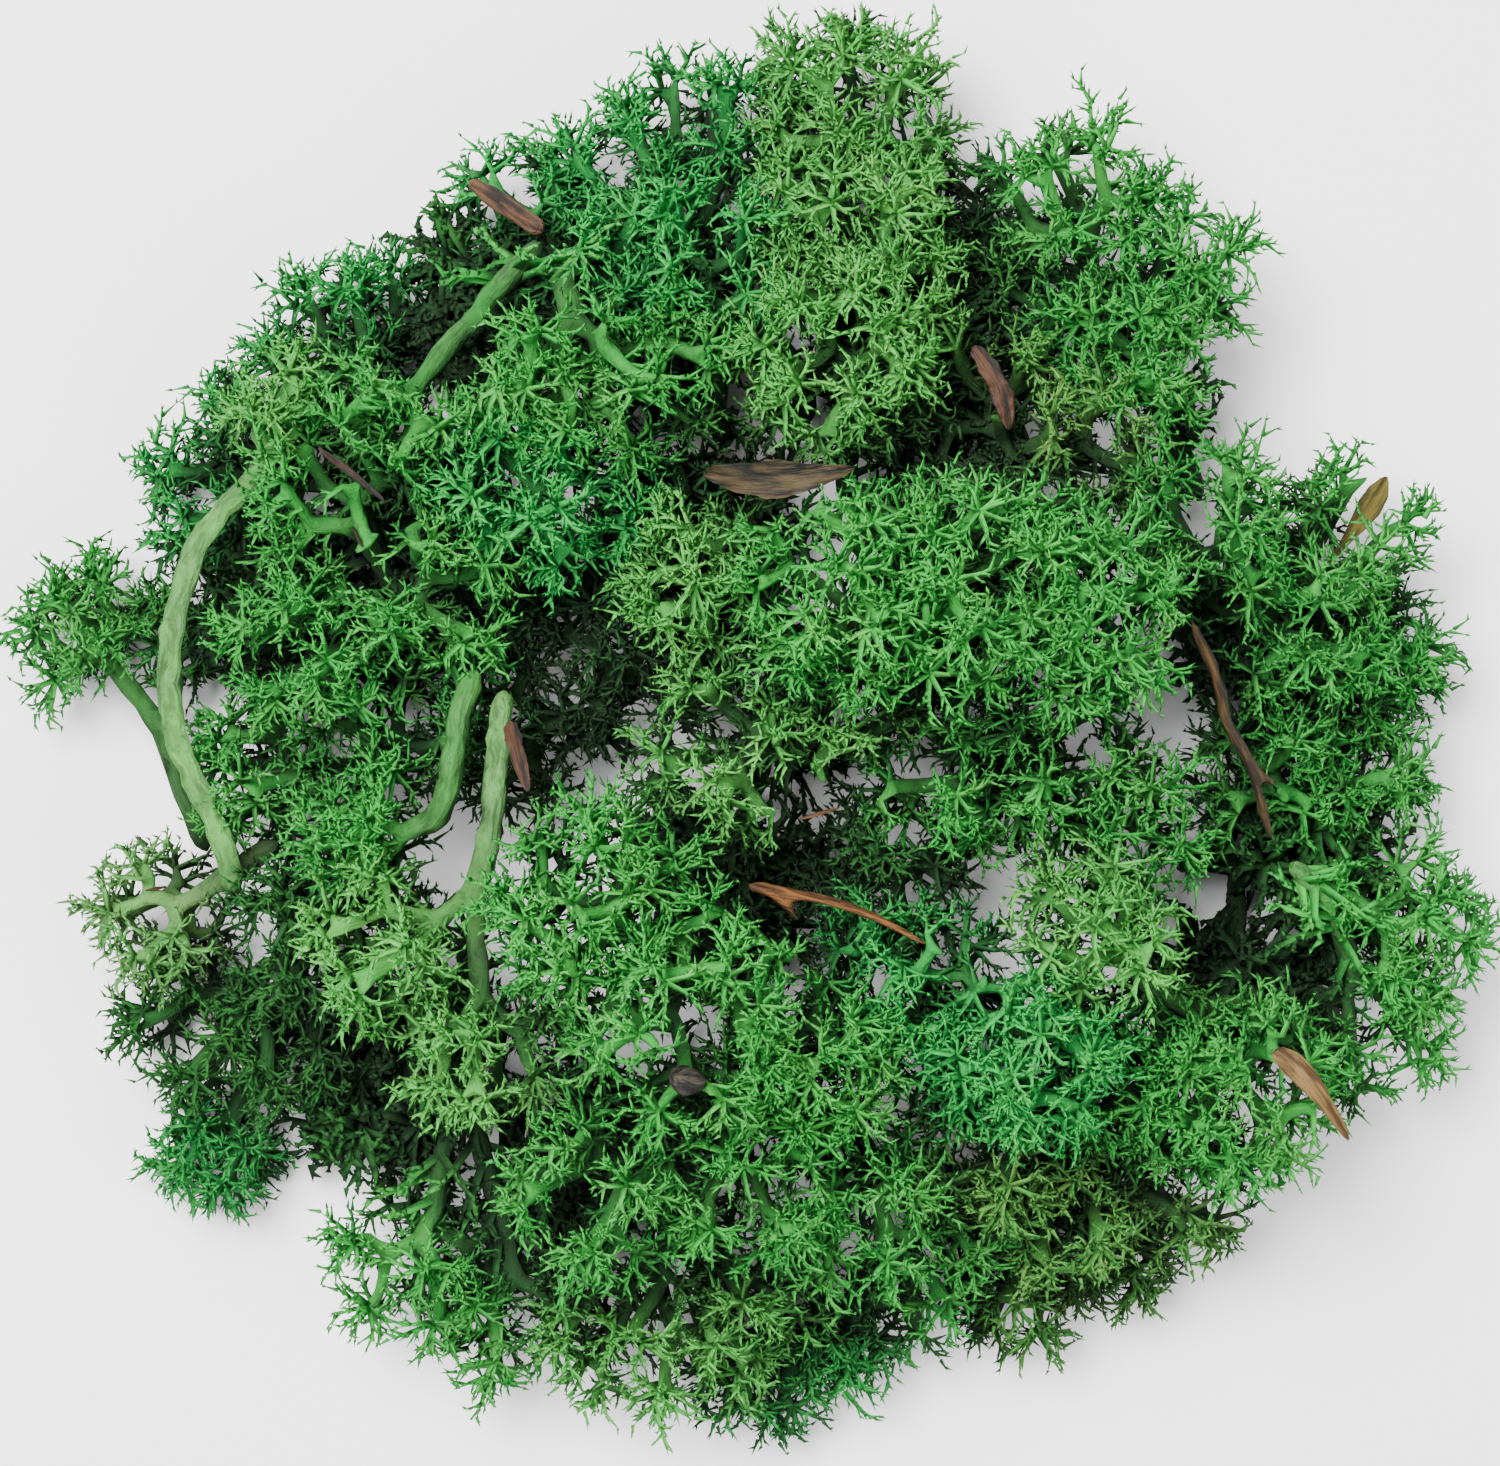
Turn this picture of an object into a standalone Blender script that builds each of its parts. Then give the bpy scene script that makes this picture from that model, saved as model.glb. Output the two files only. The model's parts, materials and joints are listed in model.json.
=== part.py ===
"""Reindeer moss clump: a loose cushion of branching lichen tufts with forest litter caught in it.

Each tuft grew as one body: a stem that forks, and heads that fork again and again into fine tips.
Metres, +Z up, with the clump lying on z = 0 and the origin under its middle.
"""

import math

import bpy
import numpy as np
from mathutils.bvhtree import BVHTree

MM = 0.001  # the tables below are in millimetres
SEED = 1753
GAP = 0.3 * MM  # air that stays between two pieces
FLOOR_AIR = 0.3 * MM  # air under everything but the feet
MIDDLE = np.array((0.1, 0.1, 0)) * MM  # the middle of the clump in the tables' own frame
UP = np.array((0, 0, 1.0))
TINY = 1e-9  # keeps a division from failing

# How often a head halves its tips: a dense head ends in 32 of them, an open one in 16, a sparse one in 8.
DENSE = 5
OPEN = 4
SPARSE = 3
FULL = 6  # a grown head has 64 tips, and the ends here are the middles of groups of them

# Radii of a stem at each stage of growth, from the root outwards. Every stem is three-sided.
TRUNK_R = 1.25 * MM
LIMB_R = 1.0 * MM
FORK_R = (0.95 * MM, 0.85 * MM, 0.75 * MM, 0.65 * MM, 0.5 * MM)
FOOT_R = 2.4 * MM
FOOT_HEIGHT = 2.5 * MM
CROTCH = 0.8  # height of the web between two branches, as a share of the stem's radius
SIDES = 3

# Shape of a head: its neck behind its middle as a share of its radius, how far round it the tips reach,
# how far from neck to tips each fork stands, and how uneven its outside is.
NECK = 0.55
BACK_ANGLE = math.radians(128)
REACH = (0.3, 0.54, 0.74, 0.88, 0.96)
UNEVEN = 0.14
GOLDEN_ANGLE = math.pi * (3 - math.sqrt(5))
HEAD_ASIDE = np.array((0.3, 1.0, 0.2))  # a head's tips start round it from square to this
RING_ASIDE = np.array((0.12, 0.9, 0.42))  # a stem's corners start round it from square to this

# How the stems grow from their roots and settle among each other.
STEM_STEP = 2.2 * MM  # distance between the points of a stem
ROOT_LIFT = 0.5  # how much a root first turns up
FORK_SHARE = 0.45  # how far along the way to its heads a stem forks
LIMB_FOLLOW = 0.35  # how much a limb first follows its trunk's direction
SETTLE_ROUNDS = 220
SETTLE_AIR = 0.35 * MM  # air that stems seek beyond the gap
STEM_PUSH = 0.5  # share of the overlap with another stem that one round clears
HEAD_PUSH = 0.15  # share of the overlap with another tuft's head that one round clears
CORE = 0.6  # share of a head's radius that other tufts' stems keep out of
SPRING = 0.3  # how strongly a stem goes back to its own bend
MOST_MOVE = 0.6 * MM  # furthest that a point moves in one round

# How litter comes to rest.
SUPPORT_REACH = 3 * MM  # a bit of litter looks this far round its ends for something to lie on
LOWEST_SUPPORT = 10 * MM
STEEPEST = 0.5  # most rise along a bit of litter, as a share of its length
DROP_FROM = 30 * MM  # height from which it comes down, above anything near
SETTLED = 0.02 * MM
SAMPLE_STEP = 0.5 * MM  # spacing of the points along edges that are tried for touching
FLAKE_OUTLINE = np.array(((-1, 1), (1, 1), (1, -1), (-1, -1)))
STUB_CORNERS = 8
STUB_GROOVE = 0.2

# How branches share the room in a head.
SECOND_FORK_SHARE = 0.3
CELL_REACH = 2 * MM  # heads further apart than this take no room from each other
OWN_AIR = 0.1 * MM  # air between the heads of one tuft
FULL_THICKNESS = 8 * MM  # a smaller head than this has thinner branches
SHORTEST = 1.8  # least length of a branch, in radii
MOST_BACK = -0.35  # cosine of the sharpest turn a branch makes at a fork
CLOSEST_TWIN = 0.86  # cosine of the least angle between two branches of a fork
TRIES = 9  # how many ways a branch tries before it is left out
SIDESTEP = 0.35  # how far the last try strays, as a share of the head's radius
HEAD_GROWTH = 1.24  # heads reach a little past their listed radius, where they have room

# Name, halvings, tone, stem points (x, y, z), heads (x, y, z, radius). A stem given by its root alone
# forks part of the way to its heads. A root at z = 0 is a foot.
TUFTS = (
    ("pale_north", DENSE, "pale", ((10, 24, 10),),
     ((9.5, 62, 16, 9), (10, 50, 25, 8.5), (9, 37, 32, 8.5))),
    ("emerald_north", OPEN, "emerald", ((-3, 30, 10),),
     ((-3, 61, 12, 9), (-13, 57, 13, 8.5), (-4, 46, 26, 8.5))),
    ("emerald_northwest", OPEN, "emerald", ((-16, 32, 9),), ((-22, 54, 12, 8), (-13, 46, 24, 7.5))),
    ("fan_north", OPEN, "green", ((-19, 47, 25),), ((-11, 35, 32, 9), (-21, 33, 34, 8))),
    ("fan_northwest", OPEN, "green", ((-21, 49, 24),), ((-31, 40, 30, 9), (-36, 31, 30, 8))),
    ("rim_northwest", OPEN, "emerald", ((-27, 22, 8),),
     ((-40, 42, 11, 7.5), (-48, 34, 11, 7.5), (-55, 24, 10, 7.5))),
    ("arching_stem_west", OPEN, "pale", ((-52, -16, 20), (-58, 2, 24), (-55, 19, 27)),
     ((-45, 31, 25, 6.5),)),
    ("sprig_far_west", OPEN, "green", ((-56, -12, 8), (-60, 0, 9)),
     ((-68, 10.5, 10, 6.3), (-58, 9, 12, 5))),
    ("green_west", OPEN, "green", ((-33, 8, 0),), ((-41, 24, 27, 8.5), (-44, 9, 25, 8), (-31, 14, 31, 8.5))),
    ("emerald_west", OPEN, "emerald", ((-22, 12, 10),), ((-22, 24, 33, 8.5), (-12, 22, 28, 8))),
    ("green_west_low", OPEN, "green", ((-36, -4, 8),), ((-36, 0, 23, 8), (-49, -4, 17, 7.5))),
    ("deep_west", OPEN, "deep", ((-14, 0, 8),), ((-12, 8, 19, 8), (-24, 0, 19, 7.5))),
    ("long_stems_southwest", OPEN, "pale", ((-24, 4, 36), (-25, -8, 37), (-27, -16, 36)),
     ((-35, -21, 34, 8), (-26, -31, 35, 7.5))),
    ("forked_stem_west", OPEN, "green", ((-27, 6, 34), (-31, -9, 33)), ((-38, -11, 31, 6),)),
    ("hanging_southwest", OPEN, "green", ((-28, -20, 24),),
     ((-33.5, -42, 26, 8), (-33, -54, 14, 8.5), (-23, -58, 14, 8.5))),
    ("dark_west", OPEN, "deep", ((-44, -14, 8),),
     ((-43, -21, 22, 8), (-46, -31, 14, 7.5), (-56, -30, 10, 8))),
    ("bare_branches_west", OPEN, "bare", ((-48, -11, 18),), ((-60, -19, 14, 6.5),)),
    ("sprig_southwest", OPEN, "emerald", ((-50, -32, 6),), ((-55, -43, 6, 5.2),)),
    ("bright_south_centre", DENSE, "bright", ((-7, -20, 14),),
     ((-15, -17, 43, 8.5), (-6, -27, 45, 9.5), (4, -32, 38, 8))),
    ("green_south", OPEN, "green", ((-6, -36, 0),), ((-15, -44, 36, 9), (0, -44, 36, 8.5))),
    ("pale_south", OPEN, "pale", ((-9, -46, 8),), ((-12, -59.5, 18, 9.5), (-2, -58, 18, 8))),
    ("sprig_south", OPEN, "emerald", ((5, -48, 10),), ((1.5, -65, 7, 6.3), (9, -62, 8, 5.5))),
    ("sprig_south_small", SPARSE, "green", ((16.5, -50, 12), (16.5, -58, 10)), ((17.5, -64, 7, 4),)),
    ("green_southeast", OPEN, "green", ((9, -38, 10),), ((11, -47, 30, 8), (20, -51, 18, 8))),
    ("bright_centre", DENSE, "bright", ((13, 6, 16),),
     ((9, 14, 46, 8.5), (21.5, 14, 46, 8.5), (32, 12, 41, 8))),
    ("pale_arm_centre", OPEN, "pale", ((3, 13, 34),), ((-5, 15, 38, 6.5),)),
    ("pale_centre", OPEN, "pale", ((4, -4, 10),), ((-2, -1, 34, 8.5), (9, 2, 33, 7.5))),
    ("green_centre_east", OPEN, "green", ((24, -6, 0),),
     ((19, -3, 31, 8), (30, -2, 32, 8), (37, -10, 29, 8))),
    ("dark_centre", OPEN, "deep", ((12, -12, 8),), ((14, -15, 22, 7.5),)),
    ("crown_northeast", OPEN, "green", ((46, 24, 10),),
     ((32, 54, 17, 8.5), (42, 46, 20, 8), (50, 36, 18, 8), (38, 37, 26, 7.5), (30, 44, 14, 7))),
    ("muddy_northeast", OPEN, "muddy", ((26, 26, 0),), ((23, 33, 26, 8), (33, 28, 29, 8))),
    ("gap_twigs_north", OPEN, "deep", ((24, 42, 6),), ((21, 50, 11, 6),)),
    ("green_east", OPEN, "green", ((44, 10, 8),), ((45, 20, 31, 8), (56, 11, 25, 8))),
    ("rim_east", OPEN, "green", ((50, 14, 8),), ((60, 19.5, 16, 8), (64, 7, 12, 6.5))),
    ("inner_east", OPEN, "green", ((53, -8, 8),), ((52, -4, 20, 6.5), (62, -3, 14, 6.5))),
    ("bright_east", OPEN, "bright", ((54, -13, 24),),
     ((60, -13, 27, 7.5), (66.5, -20, 18, 7.5), (63, -29, 14, 8))),
    ("pale_limb_east", OPEN, "pale", ((51, -28, 24), (41, -26, 31)), ((34, -19, 37, 7.5), (45, -20, 33, 8))),
    ("teal_southeast", DENSE, "emerald", ((22, -27, 12),), ((27, -31, 37, 7.5), (15, -26, 31, 8))),
    ("soft_southeast", DENSE, "green", ((44, -30, 8),), ((48, -35, 31, 8), (38, -34, 28, 7.5))),
    ("dark_southeast", OPEN, "muddy", ((32, -40, 0),),
     ((31, -47, 22, 8), (43, -45, 16, 8), (24, -42, 27, 7.5))),
    ("rim_southeast", OPEN, "muddy", ((28, -46, 6),), ((27, -56, 9, 7), (38, -52, 9, 6))),
    ("under_north", OPEN, "deep", ((6, 32, 6),), ((-8, 44, 10, 7.5), (18, 38, 12, 8))),
    ("under_west", OPEN, "deep", ((-38, 4, 7),), ((-48, 13, 9, 7.5), (-31, 20, 12, 8))),
    ("under_northwest", OPEN, "deep", ((-14, 40, 7),), ((-27, 44, 9, 7.5),)),
    ("under_southwest", OPEN, "deep", ((-30, -30, 7),), ((-38, -36, 9, 7), (-18, -44, 9, 7.5))),
    ("under_east", OPEN, "deep", ((44, -14, 7),), ((50, -26, 9, 7.5), (57, -12, 11, 7), (54, 8, 9, 7.5))),
    ("under_centre", OPEN, "deep", ((4, 6, 6),), ((-6, 18, 11, 8), (20, 14, 11, 8), (-2, -14, 11, 8))),
)

# Needles, stalks and twigs: name, tone, the stretches between their forks (x, y), thickness.
STICKS = (
    ("dark_needle", "needle_dark", (((-42.8, 28.3), (-38, 24.6), (-33.2, 20.3)),), 0.9),
    ("short_needle", "needle_dark", (((-39.5, 20.8), (-36.7, 15)),), 0.9),
    ("needle_pair", "needle_tan",
     (((0, -14.7), (2, -15.2)), ((2, -15.2), (12, -17.4), (24, -24.9)), ((2, -15.2), (7.8, -21.2))), 1.2),
    ("pale_stalk", "needle_tan", (((4, -8.7), (15.5, -5.4)),), 0.9),
    ("forked_twig", "twig",
     (((43, 11.3), (46.5, 4.3), (46.8, 1.3), (50, -3.7)), ((50, -3.7), (54.5, -6.7)),
      ((50, -3.7), (51.5, -8.7), (52.5, -12.7))), 1.1),
    ("red_needle", "needle_red", (((-61.5, -16), (-56, -15)),), 0.8),
)
# Flat litter: name, tone, spine (x, y), widths along it, thickness, how far its middle lifts.
FLAKES = (
    ("curled_leaf", "leaf_brown", ((-4, 25.2), (3, 24.4), (10, 25.4)), (1.2, 3.2, 3.6, 2.4, 0.8), 0.6, 1.5),
    ("tan_bract", "bract_tan", ((51, -31), (54.5, -34), (58.5, -39.7)),
     (1.6, 2.4, 2.2, 1.4, 0.6), 0.6, 0.8),
    ("olive_leaf", "leaf_olive", ((58.5, 17), (62.5, 22), (65.2, 26.2)),
     (0.6, 0.8, 1.8, 2.6, 2.2, 0.6), 0.6, 0.4),
    ("shredded_bark", "bark_red", ((22, 38), (24.5, 34), (25.5, 30)),
     (1.0, 2.4, 1.8, 2.2, 0.7), 0.7, 0.8),
    ("bark_strip", "bark_red", ((-23.5, 1), (-21.5, -5.7)), (1.2, 1.7, 1.5, 1.2, 0.7), 0.6, 0.5),
)
# Solid litter: name, tone, ends (x, y), widths along it.
STUBS = (
    ("woody_stub", "bark_tan", ((-28.2, 55.5), (-20.7, 50.1)), (1.3, 2.0, 2.2, 2.1, 1.7)),
    ("dry_bud", "bud_grey", ((-7.5, -33), (-4.5, -33.6)), (1.0, 2.6, 3.0, 2.2, 0.8)),
)

# Colour of each tone, linear red, green and blue, and how rough all of them are.
ROUGHNESS = 0.85
LICHEN_TONES = {
    "pale": (0.27, 0.42, 0.14),
    "bright": (0.12, 0.42, 0.12),
    "green": (0.06, 0.3, 0.09),
    "emerald": (0.02, 0.28, 0.1),
    "deep": (0.02, 0.13, 0.04),
    "muddy": (0.09, 0.2, 0.05),
    "bare": (0.33, 0.4, 0.25),
}
LITTER_TONES = {
    "needle_dark": (0.05, 0.025, 0.015),
    "needle_tan": (0.25, 0.11, 0.04),
    "needle_red": (0.16, 0.05, 0.02),
    "twig": (0.13, 0.09, 0.035),
    "leaf_brown": (0.12, 0.075, 0.035),
    "bract_tan": (0.33, 0.2, 0.09),
    "leaf_olive": (0.24, 0.22, 0.05),
    "bark_red": (0.15, 0.06, 0.03),
    "bark_tan": (0.24, 0.13, 0.06),
    "bud_grey": (0.09, 0.085, 0.06),
}


def unit(vectors):
    """Each vector divided by its length."""
    return vectors / np.maximum(np.linalg.norm(vectors, axis=-1, keepdims=True), TINY)


def curve_through(points, leave, arrive):
    """Cubic curve through the points about one stem step apart, with its slopes at both ends given."""
    slopes = np.vstack((leave, (points[2:] - points[:-2]) / 2, arrive))
    pieces = [points[:1]]
    for number in range(len(points) - 1):
        start, end = points[number], points[number + 1]
        count = max(2, math.ceil(np.linalg.norm(end - start) / STEM_STEP))
        t = np.linspace(0, 1, count + 1)[1:, None]
        pieces.append((2 * t**3 - 3 * t**2 + 1) * start + (t**3 - 2 * t**2 + t) * slopes[number]
                      + (3 * t**2 - 2 * t**3) * end + (t**3 - t**2) * slopes[number + 1])
    return np.vstack(pieces)


class Stems:
    """Every stem point of the clump, in one set of arrays, with the runs of points that stems follow."""

    def __init__(self):
        self.place = np.zeros((0, 3))
        self.radius = np.zeros(0)
        self.owner = np.zeros(0, int)
        self.held = np.zeros(0, bool)
        self.runs = []
        self.necks = {}

    def add_run(self, owner, points, radii, first=None, hold_start=False, hold_end=False):
        """Store a run of points, from an existing point on if first is given; returns its last index."""
        skip = 0 if first is None else 1
        held = np.zeros(len(points) - skip, bool)
        held[0] |= hold_start
        held[-1] |= hold_end
        numbers = np.arange(len(held)) + len(self.place)
        self.place = np.vstack((self.place, points[skip:]))
        self.radius = np.concatenate((self.radius, radii[skip:]))
        self.owner = np.concatenate((self.owner, np.full(len(held), owner)))
        self.held = np.concatenate((self.held, held))
        self.runs.append(numbers if first is None else np.concatenate(([first], numbers)))
        return numbers[-1]


def lay_limbs(stems, owner, start, first, grow, numbers, middles, sizes):
    """Limbs from a fork to the necks of its heads, forking in two again where there are more than two."""
    if len(middles) == 1:
        axis = unit(middles[0] - start)
        neck = middles[0] - axis * sizes[0] * NECK
        length = np.linalg.norm(neck - start)
        leave = unit(grow * LIMB_FOLLOW + axis)
        points = curve_through(np.vstack((start, neck)), leave * length, axis * length)
        radii = np.linspace(TRUNK_R, LIMB_R, len(points))
        stems.necks[numbers[0]] = stems.add_run(owner, points, radii, first, hold_end=True)
        return
    order = halving_order(middles, 1)
    half = len(middles) // 2
    for bunch in (np.sort(order[:half]), np.sort(order[half:])):
        if len(bunch) == 1:
            lay_limbs(stems, owner, start, first, grow, numbers[bunch], middles[bunch], sizes[bunch])
            continue
        goal = middles[bunch].mean(axis=0)
        fork = start + (goal - start) * SECOND_FORK_SHARE
        length = np.linalg.norm(fork - start)
        arrive = unit(goal - start)
        points = curve_through(np.vstack((start, fork)), unit(grow + arrive) * length, arrive * length)
        last = stems.add_run(owner, points, np.full(len(points), TRUNK_R), first)
        lay_limbs(stems, owner, fork, last, arrive, numbers[bunch], middles[bunch], sizes[bunch])


def lay_stems(head_owner, all_middles, all_sizes):
    """Trunks from root to fork and limbs from fork to neck, before they settle."""
    stems = Stems()
    for owner, (_, _, _, stem, heads) in enumerate(TUFTS):
        numbers = np.flatnonzero(head_owner == owner)
        middles, sizes = all_middles[numbers], all_sizes[numbers]
        trunk = np.array(stem, float) * MM - MIDDLE
        goal = middles.mean(axis=0)
        is_foot = stem[0][2] == 0
        grow = UP if is_foot else unit(unit(goal - trunk[0]) + ROOT_LIFT * UP)
        if len(trunk) == 1 and len(heads) > 1:
            trunk = np.vstack((trunk, trunk[0] + (goal - trunk[0]) * FORK_SHARE))
        first = None
        if is_foot:
            foot = np.vstack((trunk[0], trunk[0] + UP * FOOT_HEIGHT))
            first = stems.add_run(owner, foot, np.array((FOOT_R, TRUNK_R)), hold_start=True, hold_end=True)
            trunk[0] = foot[1]
        if len(trunk) > 1:
            lengths = np.linalg.norm(np.diff(trunk, axis=0), axis=1)
            arrive = unit(goal - trunk[-2])
            points = curve_through(trunk, grow * lengths[0], arrive * lengths[-1])
            first = stems.add_run(owner, points, np.full(len(points), TRUNK_R), first)
            grow = arrive
        lay_limbs(stems, owner, trunk[-1], first, grow, numbers, middles, sizes)
    return stems


def settle_stems(stems, head_owner, middles, sizes):
    """Push stems of different tufts apart, out of foreign heads and off the floor, keeping their bends."""
    links = np.vstack([np.column_stack((run[:-1], run[1:])) for run in stems.runs])
    count = len(stems.place)
    degree = np.bincount(links.ravel(), minlength=count)[:, None]

    def bend(place):
        total = np.zeros((count, 3))
        np.add.at(total, links[:, 0], place[links[:, 1]])
        np.add.at(total, links[:, 1], place[links[:, 0]])
        return total / degree - place

    own_bend = bend(stems.place)
    foreign = stems.owner[:, None] != stems.owner[None]
    wanted = stems.radius[:, None] + stems.radius[None] + GAP + SETTLE_AIR
    foreign_head = stems.owner[:, None] != head_owner[None]
    movable = ~stems.held[:, None]
    springy = degree > 1
    lowest = stems.radius + FLOOR_AIR
    place = stems.place.copy()
    for _ in range(SETTLE_ROUNDS):
        apart = place[:, None] - place[None]
        distance = np.linalg.norm(apart, axis=2) + TINY
        short = np.where(foreign, np.maximum(wanted - distance, 0), 0)
        move = (apart / distance[..., None] * short[..., None]).sum(axis=1) * STEM_PUSH
        from_head = place[:, None] - middles[None]
        depth = np.linalg.norm(from_head, axis=2) + TINY
        inside = np.where(foreign_head, np.maximum(CORE * sizes[None] - depth, 0), 0)
        move += (from_head / depth[..., None] * inside[..., None]).sum(axis=1) * HEAD_PUSH
        move += np.where(springy, (bend(place) - own_bend) * SPRING, 0)
        place += np.where(movable, np.clip(move, -MOST_MOVE, MOST_MOVE), 0)
        place[:, 2] = np.where(stems.held, place[:, 2], np.maximum(place[:, 2], lowest))
    stems.place = place


def halving_order(points, depth):
    """Order of points in which each half, quarter and so on is a bunch of neighbours."""
    if depth == 0 or len(points) < 2:
        return np.arange(len(points))
    spread = points - points.mean(axis=0)
    across = np.linalg.eigh(spread.T @ spread)[1][:, -1]
    order = np.argsort(spread @ across, kind="stable")
    half = len(points) // 2
    parts = (order[:half], order[half:])
    return np.concatenate([part[halving_order(points[part], depth - 1)] for part in parts])


def head_forks(number, neck, middle, size, halvings):
    """Forks of one head, level by level, the last level being its ends on the head's outside."""
    draw = np.random.default_rng((SEED, number))
    count = 2**FULL
    share = (np.arange(count) + 0.5) / count
    lean = np.arccos(1 - (1 - math.cos(BACK_ANGLE)) * share)
    turn = GOLDEN_ANGLE * np.arange(count) + draw.uniform(0, 2 * math.pi)
    axis = unit(middle - neck)
    side = unit(np.cross(axis, HEAD_ASIDE))
    other = np.cross(axis, side)
    outward = (np.cos(lean)[:, None] * axis
               + np.sin(lean)[:, None] * (np.cos(turn)[:, None] * side + np.sin(turn)[:, None] * other))
    tips = middle + outward * size * (1 - UNEVEN * draw.random(count))[:, None]
    tips = tips[halving_order(tips, FULL)]
    levels = []
    for level in range(1, halvings + 1):
        bunches = tips.reshape(2**level, -1, 3).mean(axis=1)
        levels.append(neck + (bunches - neck) * REACH[level - 1])
    levels[-1] = middle + unit(bunches - middle) * size
    return levels


def draw_into_cell(points, radius, number, owners, middles, sizes):
    """Draw points of a head towards its middle until they clear the planes it shares with other heads."""
    middle, size = middles[number], sizes[number]
    away = np.linalg.norm(middles - middle, axis=1)
    near = (away > 0) & (away < sizes + size + CELL_REACH)
    air = np.where(owners[near] == owners[number], OWN_AIR, GAP)
    others, other_sizes, away = middles[near], sizes[near], away[near]
    room = (away**2 - other_sizes**2 + size**2) / (2 * away) - air / 2 - radius
    offset = points - middle
    depth = offset @ unit(others - middle).T
    shrink = np.where(depth > room, room / np.maximum(depth, TINY), 1).min(axis=1, initial=1)
    floor = FLOOR_AIR + radius - middle[2]
    to_floor = np.where(offset[:, 2] < floor, floor / np.minimum(offset[:, 2], -TINY), 1)
    return middle + offset * np.clip(np.minimum(shrink, to_floor), 0, 1)[:, None]


def segment_distance(a0, a1, b0, b1):
    """Least distance between straight pieces a and b, for arrays that broadcast together."""
    along_a, along_b, between = a1 - a0, b1 - b0, a0 - b0
    aa = (along_a**2).sum(-1)
    bb = (along_b**2).sum(-1)
    ab = (along_a * along_b).sum(-1)
    af = (along_a * between).sum(-1)
    bf = (along_b * between).sum(-1)
    s = np.clip((ab * bf - af * bb) / np.maximum(aa * bb - ab**2, TINY**2), 0, 1)
    t = np.clip((ab * s + bf) / np.maximum(bb, TINY**2), 0, 1)
    s = np.clip((ab * t - af) / np.maximum(aa, TINY**2), 0, 1)
    return np.linalg.norm(between + along_a * s[..., None] - along_b * t[..., None], axis=-1)


class Tree:
    """Joints of every tuft, each with its parent joint, place, radius and tuft."""

    def __init__(self):
        self.place = []
        self.radius = []
        self.parent = []
        self.owner = []

    def add(self, place, radius, parent, owner):
        """Add a joint and return its number; a root has the parent -1."""
        self.place.append(place)
        self.radius.append(radius)
        self.parent.append(parent)
        self.owner.append(owner)
        return len(self.place) - 1

    def room_for(self, place, radius, parent, owner):
        """Whether a branch from a parent joint to a place can grow clear of every branch but its own."""
        grown = self.place[parent] - self.place[self.parent[parent]]
        fresh = place - self.place[parent]
        length = np.linalg.norm(fresh)
        if length < radius * SHORTEST or unit(grown) @ fresh < length * MOST_BACK:
            return False
        ends = np.array(self.parent)
        piece = ends >= 0
        places, radii, owners = np.array(self.place), np.array(self.radius), np.array(self.owner)
        twins = unit(places[ends == parent] - self.place[parent])
        if (twins @ fresh > length * CLOSEST_TWIN).any():
            return False
        numbers = np.flatnonzero(piece)
        starts = ends[numbers]
        apart = (numbers != parent) & (starts != parent)
        numbers, starts = numbers[apart], starts[apart]
        distance = segment_distance(self.place[parent][None], place[None], places[starts], places[numbers])
        wanted = radius + radii[numbers] + np.where(owners[numbers] == owner, 0, GAP)
        return bool((distance >= wanted).all())


def plant_stems(stems):
    """Joints of the settled stems, every second point of each run, and the joint at each neck."""
    tree = Tree()
    joint_of = {}
    for run in stems.runs:
        keep = list(run[:-1:2]) + [run[-1]]
        if len(run) > 2 and len(run) % 2 == 0:
            keep.pop(-2)
        for before, point in zip([None] + keep[:-1], keep):
            if point not in joint_of:
                parent = -1 if before is None else joint_of[before]
                place, radius = stems.place[point], stems.radius[point]
                joint_of[point] = tree.add(place, radius, parent, stems.owner[point])
    return tree, [joint_of[stems.necks[number]] for number in sorted(stems.necks)]


def grow_heads(tree, necks, head_owner, middles, sizes):
    """Fork every head level by level, leaving out each branch that has no room; returns how many."""
    heads = []
    for number, neck in enumerate(necks):
        halvings = TUFTS[head_owner[number]][1]
        levels = head_forks(number, tree.place[neck], middles[number], sizes[number], halvings)
        heads.append([draw_into_cell(points, FORK_R[level], number, head_owner, middles, sizes)
                      for level, points in enumerate(levels)])
    joints = [{0: neck} for neck in necks]
    left_out = 0
    for level in range(DENSE):
        for number, levels in enumerate(heads):
            if level >= len(levels):
                continue
            fresh = {}
            draw = np.random.default_rng((SEED, number, level))
            owner = head_owner[number]
            radius = FORK_R[level] * min(1, sizes[number] / FULL_THICKNESS)
            for place, point in enumerate(levels[level]):
                parent = joints[number].get(place // 2)
                if parent is None:
                    continue
                aside = draw.normal(0, 1, (TRIES, 3)) * np.linspace(0, SIDESTEP, TRIES)[:, None]
                ways = point + aside * sizes[number]
                ways = draw_into_cell(ways, radius, number, head_owner, middles, sizes)
                fitting = (way for way in ways if tree.room_for(way, radius, parent, owner))
                way = next(fitting, None)
                if way is None:
                    left_out += 1
                else:
                    fresh[place] = tree.add(way, radius, parent, owner)
            joints[number] = fresh
    return left_out


def ring_frame(direction):
    """Two directions square to a third, turning right-handed about it."""
    side = unit(np.cross(direction, RING_ASIDE))
    return side, np.cross(direction, side)


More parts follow.
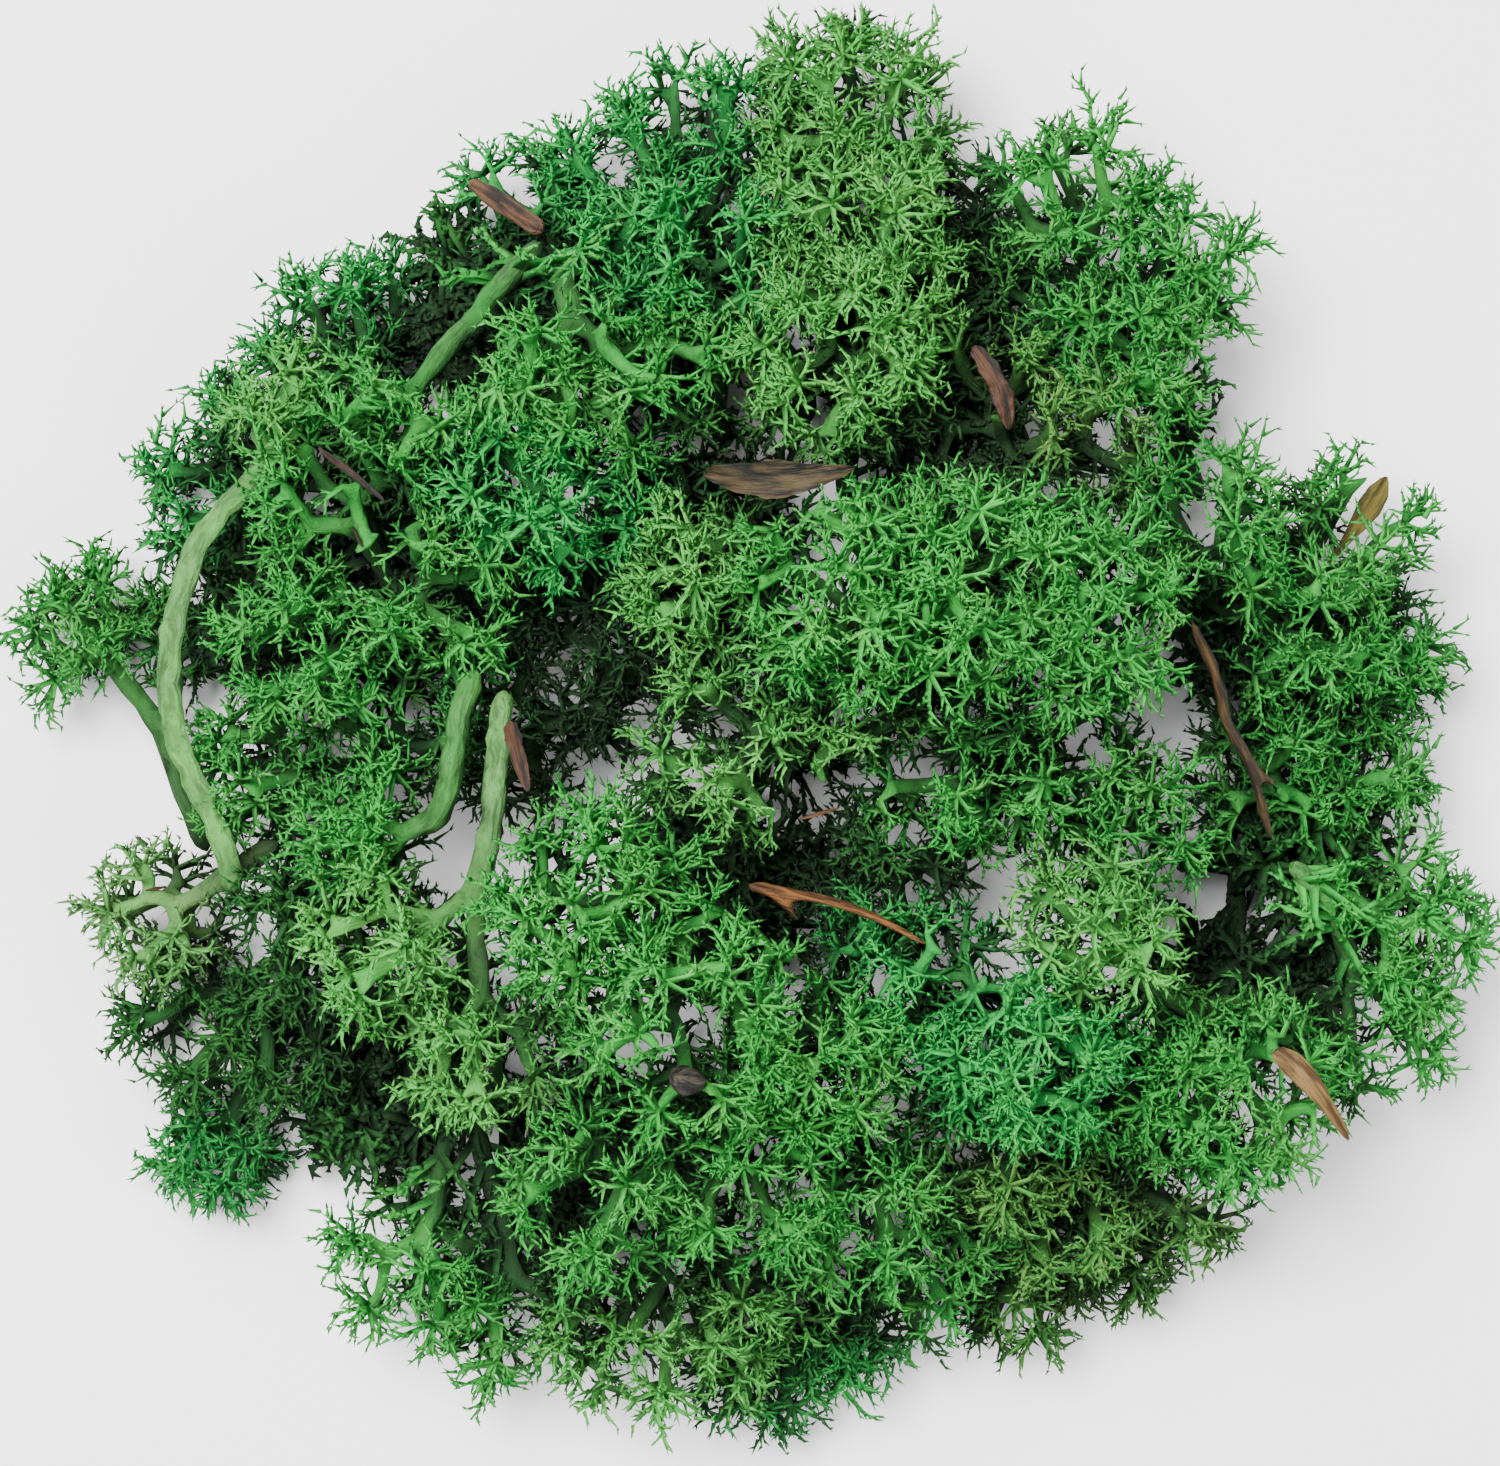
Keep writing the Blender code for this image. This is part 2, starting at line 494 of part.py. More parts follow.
def skin(tree, owner):
    """One closed surface over a tuft's joints: three-sided stems that split in two at each fork."""
    children = {}
    for joint, parent in enumerate(tree.parent):
        if tree.owner[joint] == owner:
            children.setdefault(parent, []).append(joint)
    vertices, faces = [], []

    def add_ring(joint, direction, base, split=None):
        """Corners round a joint, turned to follow the base, or to straddle the split at a fork."""
        side, other = ring_frame(direction)
        turn = 0.0
        if base is not None:
            corners = np.array([vertices[k] for k in base])
            flat = corners - corners.mean(axis=0)
            total = sum(complex(v @ side, v @ other) * np.exp(-2j * math.pi * k / SIDES)
                        for k, v in enumerate(flat))
            turn = np.angle(total)
        middle_corner = None
        if split is not None:
            lie = math.atan2(split @ other, split @ side) + math.pi / 2
            choices = [(lie + math.pi * flip - 2 * math.pi * k / SIDES, k, flip)
                       for flip in (0, 1) for k in range(SIDES)]
            turn, *middle_corner = min(
                choices, key=lambda c: abs(math.remainder(c[0] - turn, 2 * math.pi)))
        angles = turn + 2 * math.pi * np.arange(SIDES) / SIDES
        first = len(vertices)
        for angle in angles:
            vertices.append(tree.place[joint]
                            + tree.radius[joint] * (math.cos(angle) * side + math.sin(angle) * other))
        return [first + k for k in range(SIDES)], middle_corner

    def add_walls(base, ring):
        """Sides between two rings, each cut along its shorter diagonal."""
        for k in range(SIDES):
            a, b = base[k], base[(k + 1) % SIDES]
            c, d = ring[(k + 1) % SIDES], ring[k]
            if np.linalg.norm(vertices[a] - vertices[c]) < np.linalg.norm(vertices[b] - vertices[d]):
                faces.extend(((a, b, c), (a, c, d)))
            else:
                faces.extend(((a, b, d), (b, c, d)))

    todo = [(children[-1][0], None)]
    while todo:
        joint, base = todo.pop()
        here = np.array(tree.place[joint])
        onward = children.get(joint, [])
        ways = [unit(tree.place[child] - here) for child in onward]
        if not ways:
            vertices.append(here)
            faces.extend((base[k], base[(k + 1) % SIDES], len(vertices) - 1) for k in range(SIDES))
            continue
        arriving = ways[0] if base is None else unit(here - tree.place[tree.parent[joint]])
        direction = unit(arriving + sum(ways) / len(ways))
        if len(ways) == 1:
            ring, _ = add_ring(joint, direction, base)
        else:
            split = ways[0] - ways[1]
            ring, (corner, flip) = add_ring(joint, direction, base, split)
        if base is None:
            faces.append(tuple(reversed(ring)))
        else:
            add_walls(base, ring)
        if len(ways) == 1:
            todo.append((onward[0], ring))
            continue
        a, b, c = ring[corner - 1], ring[corner], ring[(corner + 1) % SIDES]
        vertices.append(here + direction * tree.radius[joint] * CROTCH)
        web = len(vertices) - 1
        faces.append((c, a, web))
        near, far = onward if flip == 0 else onward[::-1]
        todo += [(near, [a, b, web]), (far, [b, c, web])]
    return np.array(vertices), faces


def add_object(name, vertices, faces, material):
    """Object of a closed surface, with its material."""
    mesh = bpy.data.meshes.new(name)
    mesh.from_pydata(vertices.tolist(), [], faces)
    mesh.update()
    mesh.materials.append(material)
    thing = bpy.data.objects.new(name, mesh)
    bpy.context.scene.collection.objects.link(thing)
    return thing


def plain_material(name, colour):
    """Principled material of one tone."""
    material = bpy.data.materials.new(name)
    material.use_nodes = True
    shader = material.node_tree.nodes["Principled BSDF"]
    shader.inputs["Base Color"].default_value = (*colour, 1)
    shader.inputs["Roughness"].default_value = ROUGHNESS
    shader.inputs["Metallic"].default_value = 0
    return material


def sweep(spine, widths, heights, outline):
    """Closed surface of an outline carried along a spine, as wide and as high as given at each point."""
    along = unit(np.gradient(spine, axis=0))
    across = unit(np.cross(along, UP))
    above = np.cross(across, along)
    count, corners = len(spine), len(outline)
    rings = (spine[:, None] + outline[None, :, :1] * across[:, None] * widths[:, None, None] / 2
             + outline[None, :, 1:] * above[:, None] * heights[:, None, None] / 2)
    faces = [tuple(range(corners))[::-1], tuple(range((count - 1) * corners, count * corners))]
    for ring in range(count - 1):
        for k in range(corners):
            a, b = ring * corners + k, ring * corners + (k + 1) % corners
            faces += [(a, b, b + corners), (a, b + corners, a + corners)]
    return rings.reshape(-1, 3), faces


def outline_of(corners, groove=0.0):
    """Points of a round outline, every second one drawn in to make grooves."""
    angles = -np.arange(corners) * 2 * math.pi / corners + math.pi / corners
    size = 1 - groove * (np.arange(corners) % 2)
    return np.column_stack((np.cos(angles), np.sin(angles))) * size[:, None]


def edge_samples(vertices, faces):
    """Points spread over a surface's edges, no further apart than the sample step."""
    pairs = np.array([(face[k], face[(k + 1) % len(face)]) for face in faces for k in range(len(face))])
    start, end = vertices[pairs[:, 0]], vertices[pairs[:, 1]]
    cuts = max(2, int(np.linalg.norm(end - start, axis=1).max() / SAMPLE_STEP) + 1)
    t = np.linspace(0, 1, cuts)[:, None, None]
    return (start * (1 - t) + end * t).reshape(-1, 3)


class Ground:
    """Everything that litter can come to rest on."""

    def __init__(self, things):
        self.vertices = np.zeros((0, 3))
        self.faces = []
        self.samples = np.zeros((0, 3))
        for thing in things:
            points = np.array([vertex.co[:] for vertex in thing.data.vertices])
            self.add(points, [tuple(face.vertices) for face in thing.data.polygons])

    def add(self, vertices, faces):
        """Take another surface in."""
        self.faces += [tuple(k + len(self.vertices) for k in face) for face in faces]
        self.vertices = np.vstack((self.vertices, vertices))
        self.samples = np.vstack((self.samples, edge_samples(vertices, faces)))
        self.tree = BVHTree.FromPolygons(self.vertices.tolist(), self.faces)

    def height_near(self, place):
        """Height of the highest point within reach of a place."""
        near = np.linalg.norm(self.vertices[:, :2] - place[:2], axis=1) < SUPPORT_REACH
        return self.vertices[near, 2].max() if near.any() else LOWEST_SUPPORT

    def settle(self, vertices, faces):
        """Lower a surface until it lies a gap above what is under it; returns its vertices there."""
        own = edge_samples(vertices, faces)
        low, high = vertices.min(axis=0), vertices.max(axis=0)
        reach = (high - low) / 2 + SUPPORT_REACH
        inside = (np.abs(self.samples - (low + high) / 2)[:, :2] < reach[:2]).all(axis=1)
        below = self.samples[inside]
        shape = BVHTree.FromPolygons(vertices.tolist(), faces)
        drop = 0.0
        for _ in range(SETTLE_ROUNDS):
            ours = min(self.tree.find_nearest(point - UP * drop)[3] for point in own)
            theirs = min((shape.find_nearest(point + UP * drop)[3] for point in below), default=ours)
            step = min(ours - GAP, theirs - GAP, low[2] - drop - FLOOR_AIR)
            if step < SETTLED:
                break
            drop += step
        return vertices - UP * drop


def lay_height(ground, points):
    """Heights along a line that follows the tops under its two ends, but never steeply."""
    length = np.linalg.norm(points[-1] - points[0])
    tops = np.array([ground.height_near(points[0]), ground.height_near(points[-1])])
    half = np.clip((tops[1] - tops[0]) / 2, -length * STEEPEST / 2, length * STEEPEST / 2)
    share = np.linalg.norm(points - points[0], axis=1) / length
    return tops.mean() + half * (2 * share - 1) + DROP_FROM


def smooth_line(points, count):
    """Points spread along a smooth curve through a few."""
    points = np.array(points, float) * MM - MIDDLE[:2]
    if len(points) == 2:
        middle = (points[0] + points[1]) / 2
        points = np.vstack((points[0], middle, points[1]))
    t = np.linspace(0, 1, count)[:, None]
    blend = np.column_stack(((1 - t)**2, 2 * t * (1 - t), t**2))
    control = 2 * points[1] - (points[0] + points[2]) / 2
    return blend @ np.vstack((points[0], control, points[2]))


def make_stick(ground, stretches, thickness):
    """A needle, stalk or twig with its side branches, laid on the clump."""
    tree = Tree()
    joints = {}
    ends = np.array([stretches[0][0], stretches[-1][-1]]) * MM - MIDDLE[:2]
    heights = lay_height(ground, ends)
    length = np.linalg.norm(ends[1] - ends[0])
    for stretch in stretches:
        for step, point in enumerate(stretch):
            if point in joints:
                continue
            place = np.array(point) * MM - MIDDLE[:2]
            share = np.clip((place - ends[0]) @ (ends[1] - ends[0]) / length**2, 0, 1)
            height = heights[0] + (heights[1] - heights[0]) * share
            parent = joints[stretch[step - 1]] if step else -1
            joints[point] = tree.add(np.array((*place, height)), thickness * MM / 2, parent, 0)
    return skin(tree, 0)


def make_flake(ground, spine, widths, thickness, lift):
    """A scrap of leaf or bark, its middle lifted, laid on the clump."""
    line = smooth_line(spine, len(widths))
    heights = lay_height(ground, line)
    bow = 1 - np.linspace(-1, 1, len(widths))**2
    points = np.column_stack((line, heights + bow * lift * MM))
    return sweep(points, np.array(widths) * MM, np.full(len(widths), thickness * MM), FLAKE_OUTLINE)


def make_stub(ground, ends, widths):
    """A grooved bit of wood, or a bud, laid on the clump."""
    line = smooth_line(ends, len(widths))
    points = np.column_stack((line, lay_height(ground, line)))
    sizes = np.array(widths) * MM
    return sweep(points, sizes, sizes, outline_of(STUB_CORNERS, STUB_GROOVE))


def scatter_litter(tufts):
    """Every bit of litter, each settled on the tufts and on the litter before it."""
    ground = Ground(tufts)
    made = []
    pieces = [(name, tone, make_stick(ground, stretches, thickness))
              for name, tone, stretches, thickness in STICKS]
    pieces += [(name, tone, make_flake(ground, spine, widths, thickness, lift))
               for name, tone, spine, widths, thickness, lift in FLAKES]
    pieces += [(name, tone, make_stub(ground, ends, widths)) for name, tone, ends, widths in STUBS]
    for name, tone, (vertices, faces) in pieces:
        rested = ground.settle(vertices, faces)
        ground.add(rested, faces)
        made.append(add_object(name, rested, faces, plain_material("litter_" + name, LITTER_TONES[tone])))
    return made


def grow_clump():
    """All tufts as objects, and how many branches had no room."""
    head_owner = np.array([owner for owner, tuft in enumerate(TUFTS) for _ in tuft[4]])
    heads = np.array([head for tuft in TUFTS for head in tuft[4]], float) * MM
    middles, sizes = heads[:, :3] - MIDDLE, heads[:, 3] * HEAD_GROWTH
    stems = lay_stems(head_owner, middles, sizes)
    settle_stems(stems, head_owner, middles, sizes)
    tree, necks = plant_stems(stems)
    left_out = grow_heads(tree, necks, head_owner, middles, sizes)
    materials = {tone: plain_material("lichen_" + tone, colour) for tone, colour in LICHEN_TONES.items()}
    tufts = [add_object(tuft[0], *skin(tree, owner), materials[tuft[2]])
             for owner, tuft in enumerate(TUFTS)]
    return tufts, tree, left_out


def main():
    """Clear the scene and build the clump."""
    for thing in list(bpy.data.objects):
        bpy.data.objects.remove(thing)
    tufts, tree, left_out = grow_clump()
    litter = scatter_litter(tufts)
    return tufts, tree, left_out, litter


grown = main()
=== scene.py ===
# %% [markdown]
# # A reindeer moss clump
# Reindeer moss is a lichen. It grows as bare, pale stems that fork and fork again, and each branch ends in
# a little whorl of pointed tips. The clump here is dyed green, dried, and has needles and bark caught in it.
# The frame that we load holds its stems and coarse branches as plain three-sided solids, each at its real
# size and place. This lesson rounds them, grows the fine sprays on them and gives everything its colour.

# %% Load the frame
import json
import math

import bpy
import numpy as np
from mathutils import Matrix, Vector


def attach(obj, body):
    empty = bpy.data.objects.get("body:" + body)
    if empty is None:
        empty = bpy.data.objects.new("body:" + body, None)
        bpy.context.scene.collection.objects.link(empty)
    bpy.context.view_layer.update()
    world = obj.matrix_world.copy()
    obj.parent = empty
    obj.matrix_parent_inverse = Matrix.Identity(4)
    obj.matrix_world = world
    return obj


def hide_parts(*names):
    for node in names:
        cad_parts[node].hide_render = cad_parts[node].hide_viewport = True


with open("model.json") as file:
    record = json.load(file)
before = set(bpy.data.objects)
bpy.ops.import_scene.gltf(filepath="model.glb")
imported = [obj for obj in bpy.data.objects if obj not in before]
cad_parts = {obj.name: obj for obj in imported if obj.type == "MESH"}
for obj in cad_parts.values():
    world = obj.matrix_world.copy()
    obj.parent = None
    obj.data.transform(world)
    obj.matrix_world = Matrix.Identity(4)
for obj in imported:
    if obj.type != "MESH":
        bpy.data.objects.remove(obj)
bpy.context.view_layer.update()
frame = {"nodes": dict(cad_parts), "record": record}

MM = 0.001
SEED = 2207
slots = {part["node"]: part["material_slot"] for part in frame["record"]["subparts"]}
tufts = [name for name in frame["nodes"] if slots[name].startswith("lichen_")]
litter = [name for name in frame["nodes"] if name not in tufts]
print(len(tufts), "tufts and", len(litter), "bits of litter")

# %% [markdown]
# ## Reading a solid
# A solid comes as loose triangles, three corners each. We could ask Blender to merge them, but numpy does it
# in two lines: round the corners to a thousandth of a millimetre, and keep each different one once. The
# triangles that meet at a point then share its number, and every edge can be listed once.

# %% Points, triangles and edges
MERGE = 1e-6


def read(items, field, width=3, kind=float):
    """A field of every item as an array, with one row for each item."""
    values = np.empty(len(items) * width, kind)
    items.foreach_get(field, values)
    return values.reshape(-1, width) if width > 1 else values


def solid_of(name):
    """Points and triangles of a solid of the frame, with its corners joined."""
    mesh = frame["nodes"][name].data
    corners = read(mesh.loops, "vertex_index", 1, int)
    keys, number = np.unique(np.round(read(mesh.vertices, "co") / MERGE), axis=0, return_inverse=True)
    return keys * MERGE, number.ravel()[corners].reshape(-1, 3)


def edges_of(faces):
    """Each edge of the triangles once, as the numbers of its two points."""
    pairs = np.vstack((faces[:, :2], faces[:, 1:], faces[:, ::2]))
    return np.unique(np.sort(pairs, axis=1), axis=0)


points, faces = solid_of(tufts[0])
print(tufts[0], "has", len(points), "points and", len(edges_of(faces)), "edges")

# %% [markdown]
# ## Thickness and length of the branches
# How a tuft branches can be read off its edges. The two shortest edges at a point lie round its branch, so
# they tell how thick the branch is there. And the shortest way over the edges tells how far a point lies from
# the thickest stem: each round of the loop hands the lengths on to the neighbours, until none gets shorter.

# %% Thickness and length
RING_EDGE = math.sqrt(3)  # edge of a three-sided ring of radius one
FAR = 1.0  # longer than any branch


def unit(vectors):
    """Each vector divided by its length."""
    return vectors / np.maximum(np.linalg.norm(vectors, axis=-1, keepdims=True), 1e-9)


def girth_of(points, faces):
    """Radius of the branch at each point: the mean of its two shortest edges over the square root of 3."""
    pairs = edges_of(faces)
    point = pairs.T.ravel()
    length = np.tile(np.linalg.norm(points[pairs[:, 0]] - points[pairs[:, 1]], axis=1), 2)
    order = np.lexsort((length, point))
    first = np.searchsorted(point[order], np.arange(len(points)))
    return (length[order][first] + length[order][first + 1]) / 2 / RING_EDGE


def along_of(points, faces, girth):
    """Length of the shortest way over the edges from the thickest point to each point."""
    pairs = edges_of(faces)
    pairs = np.vstack((pairs, pairs[:, ::-1]))
    length = np.linalg.norm(points[pairs[:, 0]] - points[pairs[:, 1]], axis=1)
    along = np.full(len(points), FAR)
    along[girth.argmax()] = 0
    changed = True
    while changed:
        nearer = along.copy()
        np.minimum.at(nearer, pairs[:, 1], along[pairs[:, 0]] + length)
        changed = np.any(nearer < along)
        along = nearer
    return along


girth = girth_of(points, faces)
print("its thickest stem is", round(2 * girth.max() / MM, 1), "mm thick, and its farthest point is",
      round(along_of(points, faces, girth).max() / MM, 1), "mm away")

# %% [markdown]
# ## Tips
# A branch of the solid ends in a point where just three triangles meet. Such points can lie inside a fork
# too, close to the three round them, so a tip also has to stand well off its ring. One small sprig has no
# such tip, and there the point farthest from the thickest stem is taken.

# %% Tips of a solid
SIDES = 3
TIP_REACH = 0.9  # least distance of a tip from its ring, against the ring's edges
BEFORE_END = slice(-7, -4)  # three points a little before the farthest one
TIP_GIRTH = 0.15 * MM


def tips_of(points, faces):
    """Numbers of the points with three faces that stand off the ring round them, and of the rings' points."""
    point = faces.ravel()
    following = np.roll(faces, -1, axis=1).ravel()
    order = np.argsort(point, kind="stable")
    first = np.searchsorted(point[order], np.arange(len(points)))
    tips = np.flatnonzero(np.bincount(point, minlength=len(points)) == SIDES)
    rings = following[order][first[tips][:, None] + np.arange(SIDES)]
    reach = np.linalg.norm(points[rings] - points[tips][:, None], axis=2).mean(axis=1)
    across = np.linalg.norm(points[rings] - points[np.roll(rings, 1, axis=1)], axis=2).mean(axis=1)
    real = reach > across * TIP_REACH
    return tips[real], rings[real]


def tuft_of(name):
    """Points, triangles, thickness, length along the branches, tips and tips' rings of a tuft's solid."""
    points, faces = solid_of(name)
    girth = girth_of(points, faces)
    along = along_of(points, faces, girth)
    tips, rings = tips_of(points, faces)
    if len(tips) == 0:
        order = along.argsort()
        tips, rings = order[-1:], order[None, BEFORE_END]
    girth[tips] = TIP_GIRTH
    return points, faces, girth, along, tips, rings


print(tufts[0], "has", len(tuft_of(tufts[0])[4]), "tips")

# %% [markdown]
# ## Making a mesh
# Each piece ends as arrays: its points, its faces, and numbers at its points that the materials will read,
# such as how far out on a twig a point is. Blender could take the points and faces as lists, one by one, but
# whole arrays go in far faster. The object then stays at the origin, because its place is in its points.

# %% Mesh and object
NO_FACES = np.zeros((0, 3), int)
FIELDS = {1: ("FLOAT", "value"), 2: ("FLOAT_VECTOR", "vector")}  # by the number of axes of the array


def keep(mesh, key, value):
    """A number or a vector for each point of the mesh, kept under a name."""
    kind, field = FIELDS[value.ndim]
    mesh.attributes.new(key, kind, "POINT").data.foreach_set(field, value.astype(np.float32).ravel())


def mesh_of(name, points, quads, triangles, **values):
    """Mesh of quads and triangles, with a number or a vector at each point for every name given."""
    mesh = bpy.data.meshes.new(name)
    corners = np.concatenate((quads.ravel(), triangles.ravel())).astype(np.int32)
    starts = np.concatenate((np.arange(len(quads)) * 4, len(quads) * 4 + np.arange(len(triangles)) * 3))
    mesh.vertices.add(len(points))
    mesh.vertices.foreach_set("co", points.astype(np.float32).ravel())
    mesh.loops.add(len(corners))
    mesh.loops.foreach_set("vertex_index", corners)
    mesh.polygons.add(len(starts))
    mesh.polygons.foreach_set("loop_start", starts.astype(np.int32))
    mesh.update(calc_edges=True)
    mesh.shade_smooth()
    for key, value in values.items():
        keep(mesh, key, value)
    return mesh


def put(name, data):
    """A new object in the scene."""
    thing = bpy.data.objects.new(name, data)
    bpy.context.scene.collection.objects.link(thing)
    return thing


# %% [markdown]
# ## Rounding the branches
# The real branches are round and swell softly where they fork. Subdivision Surface does just that to the
# three-sided ones. It also makes them about half as thick, so each point first moves out along its normal,
# by a share of the branch's own thickness, and the rounded branch ends up as thick as the solid one.

# %% Round a solid
SWELL = 0.72  # share of its thickness that a point moves out before rounding


def rounded(points, faces, levels, **fields):
    """Points, normals, quads and the fields' values of a solid swollen along its normals and subdivided."""
    mesh = mesh_of("coarse", points, NO_FACES, faces, **fields)
    places = points + read(mesh.vertices, "normal") * fields["girth"][:, None] * SWELL
    mesh.vertices.foreach_set("co", places.astype(np.float32).ravel())
    thing = put("coarse", mesh)
    smooth = thing.modifiers.new("rounding", "SUBSURF")
    smooth.levels = levels
    smooth.render_levels = levels
    fine = thing.evaluated_get(bpy.context.evaluated_depsgraph_get()).to_mesh()
    fine_points, normals = read(fine.vertices, "co"), read(fine.vertices, "normal")
    quads = read(fine.loops, "vertex_index", 1, int).reshape(-1, 4)
    fine_fields = {key: read(fine.attributes[key].data, "value", 1) for key in fields}
    thing.to_mesh_clear()
    bpy.data.objects.remove(thing)
    bpy.data.meshes.remove(mesh)
    return fine_points, normals, quads, fine_fields


print("rounded once,", tufts[0], "has", len(rounded(points, faces, 1, girth=girth)[2]), "faces")

# %% [markdown]
# ## Lumps and creases
# Dried stems aren't even: they are lumpy and creased along their length. A noise texture could push the
# surface about, but its lumps would be as long as they are wide. A few sine waves that depend on which way
# the surface faces and on how far along the branch it is give lumps that follow the branch. Where a thick
# stem shows, the solid is rounded more finely, so that it can hold them.

# %% Lumpy branches of a tuft
LUMP_PITCHES = (11 * MM, 5.3 * MM, 3.1 * MM, 1.9 * MM)
LUMP_TURN = 3  # how fast the lumps change with the way a point faces
LUMP_HEIGHT = 0.24  # share of the branch's thickness
ROUND_LEVELS = 1
STEM_LEVELS = 2
STEMMY = ("stem", "limb", "bare")  # words in the names of tufts whose thick stems show
STEM_GIRTH = 1.25 * MM
MOST_OUT = 0.5  # how far out the thinnest branch counts, where a twig's tip counts 1
MIDDLE_SHADE = 0.5


def has_word(name, words):
    """Whether one of the words is in the name."""
    return any(word in name for word in words)


def lumps(draw, normals, along):
    """Mean of sines over which way a point faces and how far along its branch it is, from -1 to 1."""
    total = np.zeros(len(normals))
    for pitch in LUMP_PITCHES:
        towards = unit(draw.normal(0, 1, 3)) * LUMP_TURN
        total += np.sin(normals @ towards + along * 2 * math.pi / pitch + draw.uniform(0, 2 * math.pi))
    return total / len(LUMP_PITCHES)


def lumpy_branches(draw, name, points, faces, girth, along):
    """Rounded branches moved along their normals by lumps, their quads, and the values at their points."""
    levels = STEM_LEVELS if has_word(name, STEMMY) else ROUND_LEVELS
    branches, normals, quads, fields = rounded(points, faces, levels, girth=girth, along=along)
    swell = fields["girth"] * LUMP_HEIGHT * lumps(draw, normals, fields["along"])
    branches = branches + normals * swell[:, None]
    branches[:, 2] = np.maximum(branches[:, 2], 0)
    outness = np.clip(1 - fields["girth"] / STEM_GIRTH, 0, MOST_OUT)
    return branches, quads, (outness, np.full(len(branches), MIDDLE_SHADE), fields["along"], normals)


# %% [markdown]
# ## Growing a thorn
# A hair system could cover the branches with twigs, but it would not fork them or keep them as a mesh. Here
# every twig is a three-sided thorn that bends a little and ends in a point. All the twigs of a tuft grow at
# once: the arrays hold one row for a twig, and a step of growth makes several rows out of each.

# %% Thorns along paths
BEND = 0.25  # how far a thorn's end lies to one side, as a share of its length
UPRIGHT = 0.9  # above this a direction counts as upright
PLAY = 0.3  # play in the turn of each arm of a whorl


def square_to(ways):
    """Two directions square to each direction and to each other."""
    aside = np.where(np.abs(ways[:, 2:]) < UPRIGHT, (0.0, 0.0, 1.0), (1.0, 0.0, 0.0))
    side = unit(np.cross(ways, aside))
    return side, np.cross(ways, side)


def lean_out(draw, ways, lean, count):
    """Directions round each direction, evenly turned with some play, leaning out between two angles."""
    side, other = square_to(ways)
    start = draw.uniform(0, 2 * math.pi, (len(ways), 1))
    turn = start + (np.arange(count) + draw.uniform(-PLAY, PLAY, (len(ways), count))) * 2 * math.pi / count
    angle = draw.uniform(*lean, (len(ways), count))
    round_about = np.cos(turn)[..., None] * side[:, None] + np.sin(turn)[..., None] * other[:, None]
    return np.cos(angle)[..., None] * ways[:, None] + np.sin(angle)[..., None] * round_about


def thorn_paths(draw, roots, ways, length, steps):
    """Points along thorns: root + reach * (share * direction + share squared * bend to one side)."""
    reach = draw.uniform(*length, (len(roots), 1, 1))
    share = np.linspace(0, 1, steps)[None, :, None]
    aside = unit(draw.normal(0, 1, (len(roots), 1, 3))) * BEND
    return roots[:, None] + reach * (share * ways[:, None] + share**2 * aside)


def thorns(paths, radius):
    """Closed three-sided thorns along paths: the radius falls with the square root of what is left."""
    count, steps, _ = paths.shape
    side, other = square_to(unit(paths[:, -1] - paths[:, 0]))
    turn = np.arange(SIDES) * 2 * math.pi / SIDES
    spokes = np.cos(turn)[:, None] * side[:, None] + np.sin(turn)[:, None] * other[:, None]
    taper = radius * np.sqrt(1 - np.arange(steps - 1) / (steps - 1))
    rings = paths[:, :-1, None] + taper[None, :, None, None] * spokes[:, None]
    points = np.concatenate((rings.reshape(count, (steps - 1) * SIDES, 3), paths[:, -1:]), axis=1)
    faces = [(0, 2, 1)]
    for ring in range(steps - 2):
        for k in range(SIDES):
            a, b = ring * SIDES + k, ring * SIDES + (k + 1) % SIDES
            faces += [(a, b, b + SIDES), (a, b + SIDES, a + SIDES)]
    last = (steps - 2) * SIDES
    faces += [(last + k, last + (k + 1) % SIDES, last + SIDES) for k in range(SIDES)]
    numbers = np.arange(count)[:, None, None] * points.shape[1] + np.array(faces)[None]
    return points.reshape(-1, 3), numbers.reshape(-1, 3)


# %% [markdown]
# ## Sprays
# On the real lichen a branch ends in a whorl of arms, the arms bear twigs, and the twigs end in a last pair
# of points. So an arm here bears thorns along its outer part, and each of those bears one more. Drawing each
# twig by hand would take for ever, and copies of one spray would show, so every one is drawn at random.

# %% Twigs on arms and thorns on twigs
ARM_RADIUS, TWIG_RADIUS, THORN_RADIUS = 0.4 * MM, 0.28 * MM, 0.2 * MM
ARM_STEPS, TWIG_STEPS = 3, 2
TWIG_COUNT, THORN_COUNT = 5, 1
TWIG_LENGTH = (1.2 * MM, 2.3 * MM)
THORN_LENGTH = (0.6 * MM, 1.1 * MM)
TWIG_START, THORN_START = 0.35, 0.4  # where along its parent the lowest twig or thorn leaves
TWIG_LEAN = (math.radians(28), math.radians(62))
STRAY = 0.8  # how far up its own stretch of the parent a twig may leave
# How far out the base and the tip of an arm, a twig and a thorn are, where 0 is a stem and 1 a tip
OUTNESS = ((0.45, 0.8), (0.65, 1.0), (0.8, 1.0))


